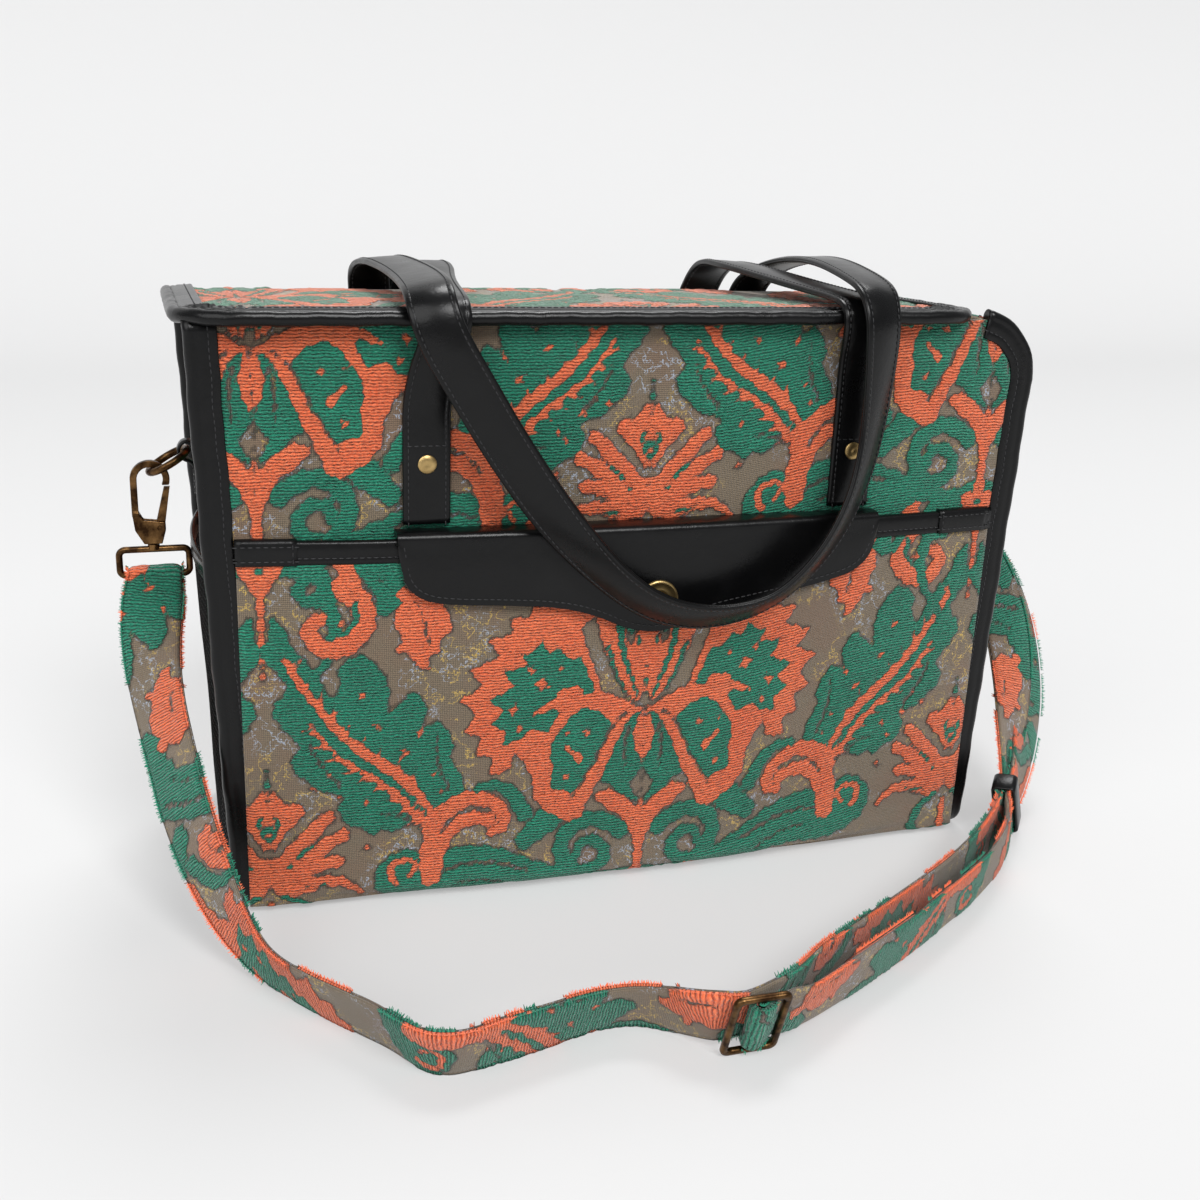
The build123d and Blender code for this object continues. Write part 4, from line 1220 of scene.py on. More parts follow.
class Carpets:
    """The carpet panels of the bag."""

    def __init__(self, material: bpy.types.Material, lid_material: bpy.types.Material) -> None:
        """Keep the materials."""
        self.material = material
        self.lid_material = lid_material

    def lay(
        self, name: str, points: np.ndarray, outward: np.ndarray, x: np.ndarray, z: np.ndarray, thickness: float,
        pile: float, replaces: Sequence[str], trim: np.ndarray | None = None,
    ) -> bpy.types.Object:
        """Make one carpet panel.

        Args:
            name: the panel's name.
            points: a grid of its outer points.
            outward: their normals.
            x: the pattern's place across, at each point.
            z: the pattern's place along.
            thickness: the cloth with its backing.
            pile: how far the pile stands above the ground.
            replaces: the CAD nodes it stands for.
            trim: a share of the pile that is left at each point.

        Returns:
            The panel.
        """
        numbers = PATTERN.numbers(x, z)
        top = np.maximum(numbers["coral"], numbers["green"])
        raised = np.clip((top + 0.6) / 1.8, 0, 1) * pile
        ripple = 0.16 * np.sin(z * 1.9 + 1.3 * np.sin(x * 0.11)) * (raised > 0)
        raised = raised + ripple * pile
        if trim is not None:
            raised = raised * trim
        mesh, faces = shell(points, outward, raised, thickness)
        double = {key: np.concatenate([v.ravel(), np.full(v.size, -8.0)]) for key, v in numbers.items()}
        cloth = np.concatenate([np.stack([x, z], -1).reshape(-1, 2)] * 2)
        material = self.lid_material if name == "carpet_lid" else self.material
        piece = make_object(name, mesh, faces, material, numbers=double, flat=cloth, replaces=replaces)
        return piece

    def front(self) -> bpy.types.Object:
        """Make the panel that runs down the front and under the bag."""
        s = np.linspace(-1, 1, 221)
        down = np.concatenate([np.linspace(285.4, 186, 56), np.linspace(180, 14, 30)])
        turn = [(z, 0.0) for z in down]
        turn += [(BAG.foot * (1 - math.sin(a)), BAG.foot * (1 - math.cos(a)))
            for a in np.linspace(0.06, math.pi / 2, 9)]
        turn += [(0.0, y) for y in np.linspace(18, 122, 22)]
        turn += [(BAG.foot * (1 - math.cos(a)), 140 - BAG.foot * (1 - math.sin(a))) for a in np.linspace(0, 1.2, 6)]
        path = np.array(turn)
        run = arc_lengths(np.column_stack([path, np.zeros(len(path))]))
        z = path[:, :1] + 0 * s[None]
        x = np.where(s[None] < 0, s[None] * (BAG.half_width(z) - 1.2), s[None] * (BAG.right_edge(z) - 1.2))
        depth = BAG.face(x)
        share = path[:, 1:] / 140.0
        y = -depth + share * 2 * depth
        sway = 0.5 * np.sin(x * 0.031 + z * 0.017) + 0.4 * np.sin(z * 0.048 - x * 0.019)
        y = y - np.where(path[:, 1:] == 0, np.clip(sway, -0.6, 0.6), 0)
        lift = 1.5 * np.clip((BAG.foot - z) / BAG.foot, 0, 1)
        points = np.stack([x, y, z + lift], -1)
        outward = self.facing(points, np.array([0, 0, 140.0]))
        height = 285.4 - run[:, None] + 0 * s[None]
        return self.lay(
            "carpet_front_and_base", points, outward, x, PATTERN.skewed(x, height), 2.6, 1.0, ["body_wrap"],
            area_trim(x, z),
        )

    def back(self) -> bpy.types.Object:
        """Make the back panel."""
        s = np.linspace(-1, 1, 150)
        z = np.concatenate([np.linspace(279.2, 14, 96), np.linspace(12, 6, 4)])[:, None] + 0 * s[None]
        x = np.where(s[None] < 0, s[None] * (BAG.half_width(z) - 1.2), s[None] * (BAG.right_edge(z) - 1.2))
        tuck = np.where(z < BAG.foot, BAG.foot - np.sqrt(np.clip(BAG.foot ** 2 - (BAG.foot - z) ** 2, 0, None)), 0)
        y = BAG.face(x) - tuck
        points = np.stack([x, y, z], -1)
        outward = self.facing(points, np.array([0, 0, 140.0]))
        return self.lay("carpet_back", points, outward, -x + 40.0, z - 60.0, 2.6, 1.0, ["body_wrap"],
            area_trim(x, z))

    def end(self, side: int) -> bpy.types.Object:
        """Make an end panel.

        Args:
            side: -1 for the left, 1 for the right.

        Returns:
            The panel.
        """
        y = np.linspace(-66.2, 66.2, 56)
        if side < 0:
            z = np.linspace(3.6, 281.5, 116)
            edge = BAG.half_width(z, 4.0)
            run = z
        else:
            centre, centre_z, radius = BAG.corner(4.0)
            low = np.linspace(3.6, centre_z, 100)
            arc = np.linspace(0, math.pi / 2 * 0.95, 24)[1:]
            z = np.concatenate([low, centre_z + radius * np.sin(arc)])
            edge = np.concatenate([BAG.half_width(low, 4.0), centre + radius * np.cos(arc)])
            run = arc_lengths(np.column_stack([edge, z, 0 * z])) + 3.6
        points = np.stack([side * edge[:, None] + 0 * y[None], 0 * z[:, None] + y[None], z[:, None] + 0 * y[None]], -1)
        outward = self.facing(points, np.array([0, 0, 140.0]))
        name = "left" if side < 0 else "right"
        shift = -70.0 if side < 0 else 30.0
        return self.lay(f"carpet_end_{name}", points, outward, side * -y[None] + shift + 0 * z[:, None], run[:, None]
            - 30.0 + 0 * y[None], 2.6, 1.0, [f"end_panel_{name}"])

    def pocket(self) -> bpy.types.Object:
        """Make the front pocket."""
        x = np.linspace(-193.0, 193.0, 215)
        up = np.linspace(186.2, 14, 98)
        turn = [(z, 0.0) for z in up] + [(12 - 8 * math.sin(a), 9.0 * (1 - math.cos(a)))
            for a in np.linspace(0.15, 1.4, 7)]
        turn += [(3.9, 11.0)]
        path = np.array(turn)
        z = path[:, :1] + 0 * x[None]
        body = BAG.face(x)[None]
        face = BAG.face(x, BAG.pocket_bow)[None]
        inward = np.minimum(path[:, 1:], np.maximum(face - body - 2.4, 0.0))
        sway = 0.7 * np.sin(x * 0.027 + 1.0 + z * 0.011) * np.sin(z * 0.026) + 0.35 * np.sin(x * 0.07 + z * 0.05)
        y = -(face + np.clip(sway, -1.0, 0.9) * (1 - (x / 193.0) ** 6) - inward)
        points = np.stack([x[None] + 0 * z, y, z], -1)
        outward = self.facing(points, np.array([0, 200.0, 120.0]))
        outward[: len(up)] = self.facing(points[: len(up)], np.array([0, 200.0, 120.0]))
        run = 186.2 - arc_lengths(np.column_stack([path, 0 * path[:, 0]]))
        grid = run[:, None] + 0 * x[None]
        return self.lay("carpet_pocket", points, outward, x[None] + 0 * z, PATTERN.skewed(x[None] + 0 * z, grid), 2.2,
            1.0, ["front_pocket"], np.clip((177.5 - z) / 1.5, -0.3, 1.0) * np.clip((192.0 -
            np.abs(x)[None]) / 1.5, 0, 1))

    def lid(self) -> bpy.types.Object:
        """Make the lid's panel."""
        s = np.linspace(0, 1, 200)
        y = np.concatenate([np.linspace(-6.4, 18, 22), np.linspace(20, 141, 60)])
        radius = 25.0
        cut = np.where(y < radius - 6.4, radius - np.sqrt(np.clip(radius ** 2 - (radius - 6.4 - y) ** 2, 0, None)), 0.0)
        left, right = -209.6 + cut, 168.6 - cut
        x = left[:, None] + (right - left)[:, None] * s[None]
        crown = 1.5 * np.clip(1 - (2 * s[None] - 1) ** 4, 0, 1) * np.clip(1 - ((y[:, None] - 67) / 75) ** 4, 0, 1)
        points = on_lid(np.stack([x, y[:, None] + 0 * x, 3.2 + crown], -1))
        outward = self.facing(points, np.array([-20.0, 0, -2000.0]))
        return self.lay(
            "carpet_lid", points, outward, x, 210.0 + y[:, None] + 0 * x, 3.0, 1.0, ["lid_panel"],
        )

    @staticmethod
    def facing(points: np.ndarray, middle: np.ndarray) -> np.ndarray:
        """Grid normals turned away from a middle point."""
        normal = grid_normals(points)
        away = np.sum(normal * (points - middle), axis=2).mean()
        return normal if away > 0 else -normal


def area_trim(x: np.ndarray, z: np.ndarray) -> np.ndarray:
    """Pile share that falls to nothing under the side bindings."""
    return np.clip((BAG.inside(x, z) - 12.6) / 1.4, 0.0, 1.0)


# ---- leather trim ---------------------------------------------------------------------
class Leatherwork:
    """Bindings, piping, flap and handles."""

    def __init__(self, leather: bpy.types.Material, thread: bpy.types.Material, seams: SeamMaker) -> None:
        """Keep the materials and the seam maker."""
        self.leather = leather
        self.thread = thread
        self.seams = seams
        self.rows: list[np.ndarray] = []

    def add_seam(self, line: np.ndarray) -> None:
        """Remember a line to be stitched."""
        self.rows.append(np.asarray(line, float))

    def stitch(self, name: str, pitch: float = 3.1, length: float = 2.35, radius: float = 0.32) -> bpy.types.Object:
        """Stitch every remembered line.

        Args:
            name: the piece's name.
            pitch: from stitch to stitch.
            length: of a stitch.
            radius: of the thread.

        Returns:
            The stitches.
        """
        values = {"Pitch": pitch * MM, "Length": length * MM, "Radius": radius * MM, "Material": self.thread}
        piece = self.seams.make(name, guide_lines(self.rows), values)
        self.rows = []
        settle(piece)
        return piece

    def binding(self, side: int) -> None:
        """Make the leather strip with a rolled edge that closes one end of the bag."""
        left = side < 0
        spots: list[tuple[float, ...]] = []
        for sign in (-1, 1):
            part: list[tuple[float, ...]] = []
            top = 285.6 if sign < 0 else 279.6
            if left:
                heights = np.linspace(top, 12, 60)
                part += [(-float(BAG.half_width(z)), z, 1.0, BAG.lean) for z in heights]
            else:
                centre_x, centre_z, radius = BAG.corner()
                begin = math.radians(80) if sign < 0 else math.asin((top - centre_z) / radius)
                for a in np.linspace(begin, 0.02, 16):
                    part.append((centre_x + radius * math.cos(a), centre_z + radius * math.sin(a), -math.cos(a),
                        -math.sin(a)))
                part += [(float(BAG.half_width(z)), z, -1.0, BAG.lean)
                    for z in np.linspace(centre_z - 2, 12, 54)]
            face = [(x, sign * float(BAG.face(x)), z, ax, az) for x, z, ax, az in part]
            foot = []
            base = face[-1]
            for a in np.linspace(0.12, math.pi / 2, 8):
                z = BAG.foot * (1 - math.sin(a))
                y = sign * (float(BAG.face(base[0])) - BAG.foot * (1 - math.cos(a)))
                foot.append((side * float(BAG.half_width(z)), y, z, -side, math.cos(a), math.sin(a)))
            run = [(x, y, z, ax, az, sign, 0.0) for x, y, z, ax, az in face]
            run += [(x, y, z, ax, 0.0, sign * ny, -nz) for x, y, z, ax, ny, nz in foot]
            spots += run[::-1] if sign > 0 else run
            if sign < 0:
                spots += [(side * BAG.half_base, y, 0.0, -side, 0.0, 0.0, -1.0) for y in np.linspace(-52, 52, 26)]
        rows = np.insert(np.array(spots), (4, 5), 0.0, axis=1)
        rows[:, 2] += 1.75 * np.clip((BAG.foot - rows[:, 2]) / BAG.foot, 0, 1)
        line, inward, normal = rows[:, :3], unit(rows[:, 3:6]), rows[:, 6:9]
        ripple = 0.25 * np.sin(arc_lengths(line) * 0.11) + 0.18 * np.sin(arc_lengths(line) * 0.31)
        line = line + inward * ripple[:, None]
        bead = [(2.0 + 3.3 * math.cos(a), -2.0 + 3.3 * math.sin(a)) for a in np.radians(np.linspace(72, 285, 13))]
        section = [(13.0, 0.05), (13.1, 0.7), (12.7, 1.25), (12.0, 1.45), (9.6, 1.5), (9.2, 1.36), (8.8, 1.5),
            (5.2, 1.42), (4.0, 1.15), *bead, (3.3, -6.2), (3.0, -9.6), (3.3, -10.0), (4.1, -9.9), (4.1, -0.6)]
        mesh, faces = sweep(line, inward, normal, section)
        name = "left" if left else "right"
        piece = make_object(f"end_binding_{name}", mesh, faces, self.leather, replaces=[f"binding_{name}"])
        LOG.info("made %s", piece.name)
        self.add_seam(line + inward * 9.2 + normal * 1.5)
        self.add_seam(line + inward * 3.05 - normal * 7.8 - inward * 0.15)

    def lid_trim(self) -> None:
        """Make the lid's piping, its flat band and the ruffles at its front corners."""
        track = lid_track(0.0, 1.5)
        ahead = unit(np.gradient(track, axis=0))
        inward = np.stack([ahead[:, 1], -ahead[:, 0], 0 * ahead[:, 0]], 1)
        middle = np.array([-20.0, 70.0, 1.5])
        inward = inward * np.sign(np.sum(inward * (middle - track), 1))[:, None]
        up = np.array([0.0, 0.0, 1.0]) + 0 * track
        run = arc_lengths(track)
        wave = 0.16 * np.sin(run * 0.23) + 0.12 * np.sin(run * 0.61 + 1)
        line = track + inward * wave[:, None] * 0.6 + up * wave[:, None]
        points, faces = sweep(line, inward, up, ring_section(3.4, 14))
        make_object("lid_edge_piping", on_lid(points), faces, self.leather, replaces=["lid_piping"])
        corner = np.exp(-((track[:, 1] + 2) / 14.0) ** 2) * (np.minimum(abs(track[:, 0] + 205),
            abs(track[:, 0] - 164)) < 22)
        ruffle = corner * np.sin(run * 1.15) * 0.95
        rows = []
        for inset, height in ((1.2, 4.3), (3.0, 4.9), (4.2, 4.7), (5.0, 5.2), (8.0, 5.35), (10.2, 5.45),
            (11.4, 5.7), (12.3, 5.45), (12.5, 4.4), (3.0, 3.4)):
            rows.append(track + inward * inset + up * (height - 1.5 + ruffle[:, None] * (0.3 if inset < 4 else 1.0)))
        grid = np.stack(rows, 1)
        count, columns = grid.shape[:2]
        faces = grid_faces(count, columns, closed=True) + [tuple(range(columns))[::-1],
            tuple((count - 1) * columns + c for c in range(columns))]
        piece = make_object("lid_edge_band", on_lid(grid.reshape(-1, 3)), faces, self.leather,
            replaces=["lid_band"])
        tidy_normals(piece)
        self.add_seam(on_lid(track + inward * 8.6 + up * (4.0 + ruffle[:, None])))

    def pocket_trim(self) -> None:
        """Make the strip that binds the pocket's mouth."""
        x = np.linspace(-193.2, 193.2, 130)
        face = BAG.face(x, BAG.pocket_bow)
        line = np.stack([x, -face, 182.5 + 0 * x + 0.2 * np.sin(x * 0.06)], 1)
        side = np.array([0.0, 0.0, 1.0]) + 0 * line
        out = np.array([0.0, -1.0, 0.0]) + 0 * line
        section = [(-5.3, 0.0), (-5.4, 0.7), (-5.0, 1.1), (-4.2, 1.25), (-2.6, 1.2), (-2.2, 1.05), (-1.8, 1.2),
            (4.4, 1.3), (5.4, 0.7), (5.8, -0.6), (5.5, -2.4), (4.6, -3.5), (-5.3, -3.5), (-5.3, -2.9), (4.0, -2.8),
            (4.2, -0.1)]
        points, faces = sweep(line, side, out, section)
        piece = make_object("pocket_mouth_binding", points, faces, self.leather, replaces=["pocket_binding"])
        tidy_normals(piece)
        self.add_seam(line - side * 2.2 + out * 1.2)
        for name, low, high in (("left", -193.2, -165.0), ("right", 160.0, 193.2)):
            part = line[(line[:, 0] > low - 0.1) & (line[:, 0] < high)] + np.array([0.0, 0.0, 0.25])
            lap = [(-5.9, 0.9), (-5.9, 1.5), (-5.3, 2.0), (4.6, 2.1), (6.1, 1.4), (6.5, -0.6), (6.1, -2.6),
                (5.0, -3.4), (5.1, -0.4), (4.4, 0.7)]
            up, forward = side[: len(part)], out[: len(part)]
            points, faces = sweep(part, up, forward, lap)
            tidy_normals(make_object(f"pocket_binding_lap_{name}", points, faces, self.leather))
            for height in (-3.6, 3.2):
                self.add_seam(part + up * height + forward * 2.05)
            end = part[-1 if name == "left" else 0] + np.array([-1.8 if name == "left" else 1.8, 0.0, 0.0])
            self.add_seam(np.array([end + up[0] * h + forward[0] * 2.05 for h in np.linspace(-3.6, 3.2, 5)]))

    def flap(self) -> None:
        """Make the pocket's flap."""
        corners = [(-121.8, 184.0), (-120.6, 176), (-118.0, 166), (-110, 159.2), (-96, 156.8), (-72, 155.6),
            (-46, 153.4), (-28, 148.4), (-12, 140.4), (3, 137.6), (14, 139.6), (30, 147.0), (50, 150.2), (72, 153.6),
            (94, 157.6), (109, 161.4), (117.4, 168), (120.6, 177), (121.4, 184.0)]
        lower = smooth_line([(x, z, 0.0) for x, z in corners], 12)
        lower = resample(lower, 2.2)
        rows = []
        shares = np.concatenate([[0.0], np.linspace(0.02, 1.0, 16)])
        for share in shares:
            z = lower[:, 1] + (188.4 - np.minimum(lower[:, 1], 188.4)) * share
            x = lower[:, 0]
            rows.append(np.stack([x, -(BAG.face(x, BAG.pocket_bow) + 4.4 + 0.5 * np.sin(share * 3.1) ** 2), z], 1))
        top = rows[-1]
        for a in np.linspace(0.3, math.pi / 2, 5):
            rows.append(top + np.array([0.0, 3.1 * (1 - math.cos(a)), 3.1 * math.sin(a)]))
        fold = rows[-1]
        for share in (0.4, 1.0):
            flat = fold.copy()
            flat[:, 1] = fold[:, 1] * (1 - share) + share * -(BAG.face(fold[:, 0]) + 0.6)
            rows.append(flat)
        grid = np.stack(rows)
        points = grid.reshape(-1, 3)
        piece = make_object("pocket_flap_leather", points, grid_faces(*grid.shape[:2]), self.leather,
            replaces=["pocket_flap"])
        face_out(piece, (0.0, 100.0, 160.0))
        thicken(piece, 2.9, 0.8)
        ahead = unit(np.gradient(lower[:, :2], axis=0))
        inner = lower[:, :2] + np.stack([-ahead[:, 1], ahead[:, 0]], 1) * 3.0
        inner = inner[(inner[:, 1] < 187.5)]
        x = inner[:, 0]
        self.add_seam(np.stack([x, -(BAG.face(x, BAG.pocket_bow) + 4.62), inner[:, 1]], 1))

    def handle(self, name: str, route: Sequence[Sequence[float]]) -> None:
        """Make a handle along its route.

        Args:
            name: the CAD node that it replaces.
            route: stations of place and across direction.
        """
        spots = np.array(route, float)
        centre = smooth_line(spots[:, :3], 10)
        across = smooth_line(spots[:, :3] + unit(spots[:, 3:6]) * 10.0, 10) - centre
        both = resample(np.column_stack([centre, across]), 2.6)
        line = both[:, :3]
        side, out = frames_along(line, both[:, 3:])
        points, faces = sweep(line, side, out, strap_section(22.0, 3.0))
        make_object(f"{name}_strap", points, faces, self.leather, replaces=[name])
        for edge in (-8.6, 8.6):
            for face in (-1.58, 1.58):
                self.add_seam(line + side * edge + out * face)
        run = arc_lengths(line)
        for at in (36.0, run[-1] - 36.0):
            k = int(np.searchsorted(run, at))
            for face in (-1.62, 1.62):
                cross = np.linspace(-8.0, 8.0, 6)[:, None]
                self.add_seam(line[k] + side[k] * cross + out[k] * face)


def tidy_normals(obj: bpy.types.Object) -> None:
    """Turn a closed piece's faces outward."""
    work = bmesh.new()
    work.from_mesh(obj.data)
    bmesh.ops.recalc_face_normals(work, faces=work.faces)
    work.to_mesh(obj.data)
    work.free()


def face_out(obj: bpy.types.Object, middle: Point) -> None:
    """Turn an open sheet's faces away from a middle point in millimetres."""
    centre = Vector(middle) * MM
    total = sum((f.center - centre).dot(f.normal) * f.area for f in obj.data.polygons)
    if total < 0:
        obj.data.flip_normals()


def thicken(obj: bpy.types.Object, thickness: float, edge: float) -> None:
    """Give a sheet its thickness and soften its edge.

    Args:
        obj: the sheet, whose points are on its outer face.
        thickness: in millimetres.
        edge: the rounding's width.
    """
    solid = obj.modifiers.new("thickness", "SOLIDIFY")
    solid.thickness = thickness * MM
    solid.offset = -1.0
    bevel = obj.modifiers.new("edge", "BEVEL")
    bevel.width = edge * MM
    bevel.segments = 3
    bevel.limit_method = "ANGLE"
    bevel.angle_limit = math.radians(55)


# ---- routes ---------------------------------------------------------------------------
LEG_Y = float(BAG.face(107.0)) + 0.3 + 1.6
REAR_HANDLE = [
    (-107, LEG_Y, 194, 1, 0, 0), (-107, LEG_Y, 236, 1, 0, 0), (-107, LEG_Y, 256, 1, 0, 0),
    (-108, 77, 275, 1, -0.05, 0), (-110, 74, 289, 1, -0.1, 0.1), (-110, 62, 298, 0.98, -0.14, 0.1),
    (-108, 38, 302.5, 0.97, -0.16, 0.1), (-105, 4, 302.5, 0.96, -0.16, 0.1), (-105, -34, 302.5, 0.96, -0.16, 0.15),
    (-107, -66, 302.5, 0.96, -0.17, 0.2), (-108, -84, 301, 0.96, -0.17, 0.2), (-108, -94, 294, 0.96, -0.17, 0.2),
    (-104, -97, 281, 0.96, -0.17, 0.24), (-92, -97, 261, 0.95, -0.18, 0.26), (-75, -96, 233, 0.93, -0.25, 0.25),
    (-53, -98, 201, 0.85, -0.4, 0.33), (-27, -101, 172, 0.45, -0.7, 0.55), (-4, -101, 155, 0.2, -0.68, 0.7),
    (19, -101, 148, -0.06, -0.67, 0.74), (43, -101, 149, -0.35, -0.72, 0.6), (64, -101, 157, -0.55, -0.76, 0.35),
    (85, -100, 177, -0.66, -0.72, 0.2), (100, -96, 201, -0.7, -0.7, 0.14), (108, -92, 227, -0.78, -0.6, 0.1),
    (109, -93, 255, -0.87, -0.48, 0.05), (107, -96.5, 280, -0.93, -0.35, 0), (106, -96, 292, -0.95, -0.3, 0),
    (106, -88, 302, -0.96, -0.25, 0), (108, -66, 306, -0.96, -0.27, 0), (113, -22, 309, -0.95, -0.2, 0),
    (116, 14, 307, -0.97, -0.1, 0), (116, 42, 302, -1, 0, 0), (115, 62, 296, -1, 0, 0), (111, 73, 288, -1, 0, 0),
    (108, 76.5, 276, -1, 0, 0), (107, LEG_Y, 258, -1, 0, 0), (107, LEG_Y, 236, -1, 0, 0), (107, LEG_Y, 194, -1, 0, 0),
]
FRONT_HANDLE = [
    (-107, -LEG_Y, 194, -1, 0, 0), (-107, -LEG_Y, 236, -1, 0, 0), (-107, -LEG_Y, 250, -1, 0, 0),
    (-104, -78.5, 267, -1, 0, 0), (-101, -84.5, 278, -1, 0, 0), (-100, -87, 288.5, -1, 0, 0),
    (-100, -82, 294.6, -1, 0, 0), (-99, -70, 296.5, -1, 0, 0), (-95, -34, 297, -1, 0, 0), (-89, 4, 297, -1, 0, 0),
    (-83, 34, 299, -1, 0, 0), (-82, 62, 299, -1, 0, 0), (-86, 82, 291, -1, 0, 0), (-90, 90, 274, -0.97, -0.2, 0),
    (-97, 93, 250, -0.9, -0.4, 0), (-99, 94, 224, -0.85, -0.52, -0.05), (-92, 97, 197, -0.75, -0.63, -0.12),
    (-77, 99, 174, -0.62, -0.74, -0.25), (-57, 100, 157, -0.4, -0.74, -0.5), (-34, 100, 149, -0.12, -0.68, -0.72),
    (-10, 100, 150, 0.1, -0.67, -0.74), (14, 100, 160, 0.3, -0.65, -0.7), (36, 99, 179, 0.55, -0.6, -0.58),
    (56, 97, 207, 0.78, -0.38, -0.45), (72, 95, 240, 0.88, -0.22, -0.32), (82, 92, 269, 0.92, -0.1, -0.26),
    (86, 84, 290, 0.96, 0, -0.2), (86, 66, 300, 0.99, 0, -0.1), (86, 36, 301, 1, 0, 0), (91, 4, 299.5, 1, 0, 0),
    (97, -34, 297.5, 1, 0, 0), (101, -70, 296.5, 1, 0, 0), (102, -82, 294.6, 1, 0, 0), (102, -87, 288.5, 1, 0, 0),
    (103, -84.5, 278, 1, 0, 0), (105, -78.5, 266, 1, 0, 0), (107, -LEG_Y, 250, 1, 0, 0), (107, -LEG_Y, 236, 1, 0, 0),
    (107, -LEG_Y, 194, 1, 0, 0),
]


# ---- ends and metalwork ---------------------------------------------------------------
@dataclass
class EndFittings:
    """The net pockets, tabs and metal on the ends."""

    leather: bpy.types.Material
    net: bpy.types.Material
    brass: bpy.types.Material
    half_depth: float = 60.0
    low: float = 12.0
    high: float = 171.0
    swell: float = 7.0
    strand: float = 0.28
    cell: float = 4.3

    def place(self, side: int, out: np.ndarray, y: np.ndarray, up: np.ndarray) -> np.ndarray:
        """Places given out from an end panel and up along it."""
        slope = math.atan(BAG.lean)
        x = 195.0 + out * math.cos(slope) + up * math.sin(slope)
        z = up * math.cos(slope) - out * math.sin(slope)
        return np.stack([side * x, y, z], -1)

    def bulge(self, y: np.ndarray) -> np.ndarray:
        """How far the pocket stands from the panel, at y."""
        radius = (self.half_depth ** 2 + self.swell ** 2) / (2 * self.swell)
        return np.sqrt(np.clip(radius ** 2 - y ** 2, 0, None)) - radius + self.swell + 0.3

    def net_pocket(self, side: int, maker: NetMaker) -> bpy.types.Object:
        """Make one net pocket.

        Args:
            side: -1 for the left, 1 for the right.
            maker: the net's node tree.

        Returns:
            The net.
        """
        rise = self.cell * math.sqrt(3) / 2
        rows = int((self.high - self.low) / rise)
        columns = int(2 * self.half_depth / self.cell)
        r, c = np.meshgrid(np.arange(rows + 1), np.arange(columns + 1), indexing="ij")
        y = np.clip(-self.half_depth + (c + 0.5 * (r % 2)) * self.cell, -self.half_depth, self.half_depth)
        up = self.low + r * (self.high - self.low) / rows
        sag = 0.5 * np.sin(up * 0.05 + y * 0.06) * np.cos(y / self.half_depth * 1.5)
        points = self.place(side, self.bulge(y) - 0.35 + np.minimum(sag, 0.2), y, up)
        faces = []
        for i in range(rows):
            for j in range(columns):
                a, b = i * (columns + 1) + j, i * (columns + 1) + j + 1
                d, e = a + columns + 1, b + columns + 1
                faces += [(a, b, e), (a, e, d)] if i % 2 else [(a, b, d), (b, e, d)]
        mesh = bpy.data.meshes.new("net_cells")
        mesh.from_pydata((points.reshape(-1, 3) * MM).tolist(), [], faces)
        guide = put("net_cells", mesh)
        name = "left" if side < 0 else "right"
        piece = maker.make(f"net_pocket_{name}", guide, {"Radius": self.strand * MM, "Material": self.net})
        settle(piece, replaces=[f"mesh_pocket_{name}"])
        return piece

    def hem(self, side: int, work: Leatherwork) -> bpy.types.Object:
        """Make the leather hem of a net pocket, with a row of stitches along it.

        Args:
            side: -1 for the left, 1 for the right.
            work: where its seams are kept.

        Returns:
            The hem.
        """
        y = np.linspace(-self.half_depth - 1.5, self.half_depth + 1.5, 60)
        line = self.place(side, self.bulge(y) + 0.1, y, 167.4 + 0.5 * np.cos(y * 0.05))
        side_way = self.place(side, 0 * y, 0 * y, np.ones_like(y)) - self.place(side, 0 * y, 0 * y, 0 * y)
        across, out = frames_along(line, side_way)
        section = [(-4.4, -0.9), (4.2, -0.9), (4.9, 0.0), (4.2, 0.95), (0.6, 1.1), (-2.0, 0.95), (-2.4, 0.8),
            (-2.8, 0.95), (-4.2, 0.9), (-4.6, 0.0)]
        points, faces = sweep(line, across, out, section)
        name = "left" if side < 0 else "right"
        piece = make_object(f"net_pocket_hem_{name}", points, faces, self.leather,
            replaces=[f"mesh_hem_{name}"])
        flip = 1.0 if float(np.dot(out[30], (side, 0, 0))) > 0 else -1.0
        work.add_seam(line - across * 2.4 + out * flip * 0.95)
        return piece

    def tab(self, side: int, work: Leatherwork) -> bpy.types.Object:
        """Make the leather tab that holds a ring.

        Args:
            side: -1 for the left, 1 for the right.
            work: where its seams are kept.

        Returns:
            The tab.
        """
        wall = float(BAG.half_width(215.0, 4.0))
        spots = [(wall + 1.1, 193.2), (wall + 1.1, 202), (wall + 1.2, 210), (wall + 1.8, 216.5), (wall + 4.2, 219.4),
            (wall + 8.4, 219.2), (wall + 10.6, 215), (wall + 8.6, 210.9), (wall + 4.6, 209.6), (wall + 2.8, 206.5),
            (wall + 2.75, 202), (wall + 2.75, 193.6)]
        line = smooth_line([(side * x, 0.0, z) for x, z in spots], 6)
        across, out = frames_along(line, np.array([0.0, 1.0, 0.0]) + 0 * line)
        section = [(-3.7, -0.3), (-3.2, -0.75), (3.2, -0.75), (3.7, -0.3), (3.7, 0.3), (3.2, 0.75), (-3.2, 0.75),
            (-3.7, 0.3)]
        points, faces = sweep(line, across, out, section)
        name = "left" if side < 0 else "right"
        piece = make_object(f"ring_tab_leather_{name}", points, faces, self.leather,
            replaces=[f"ring_tab_{name}"])
        edge = side * (wall + 3.6)
        box = [(edge, -2.4, 195.4), (edge, -2.4, 204.6), (edge, 2.4, 204.6), (edge, 2.4, 195.4), (edge, -2.4, 195.4)]
        work.add_seam(np.array(box))
        return piece

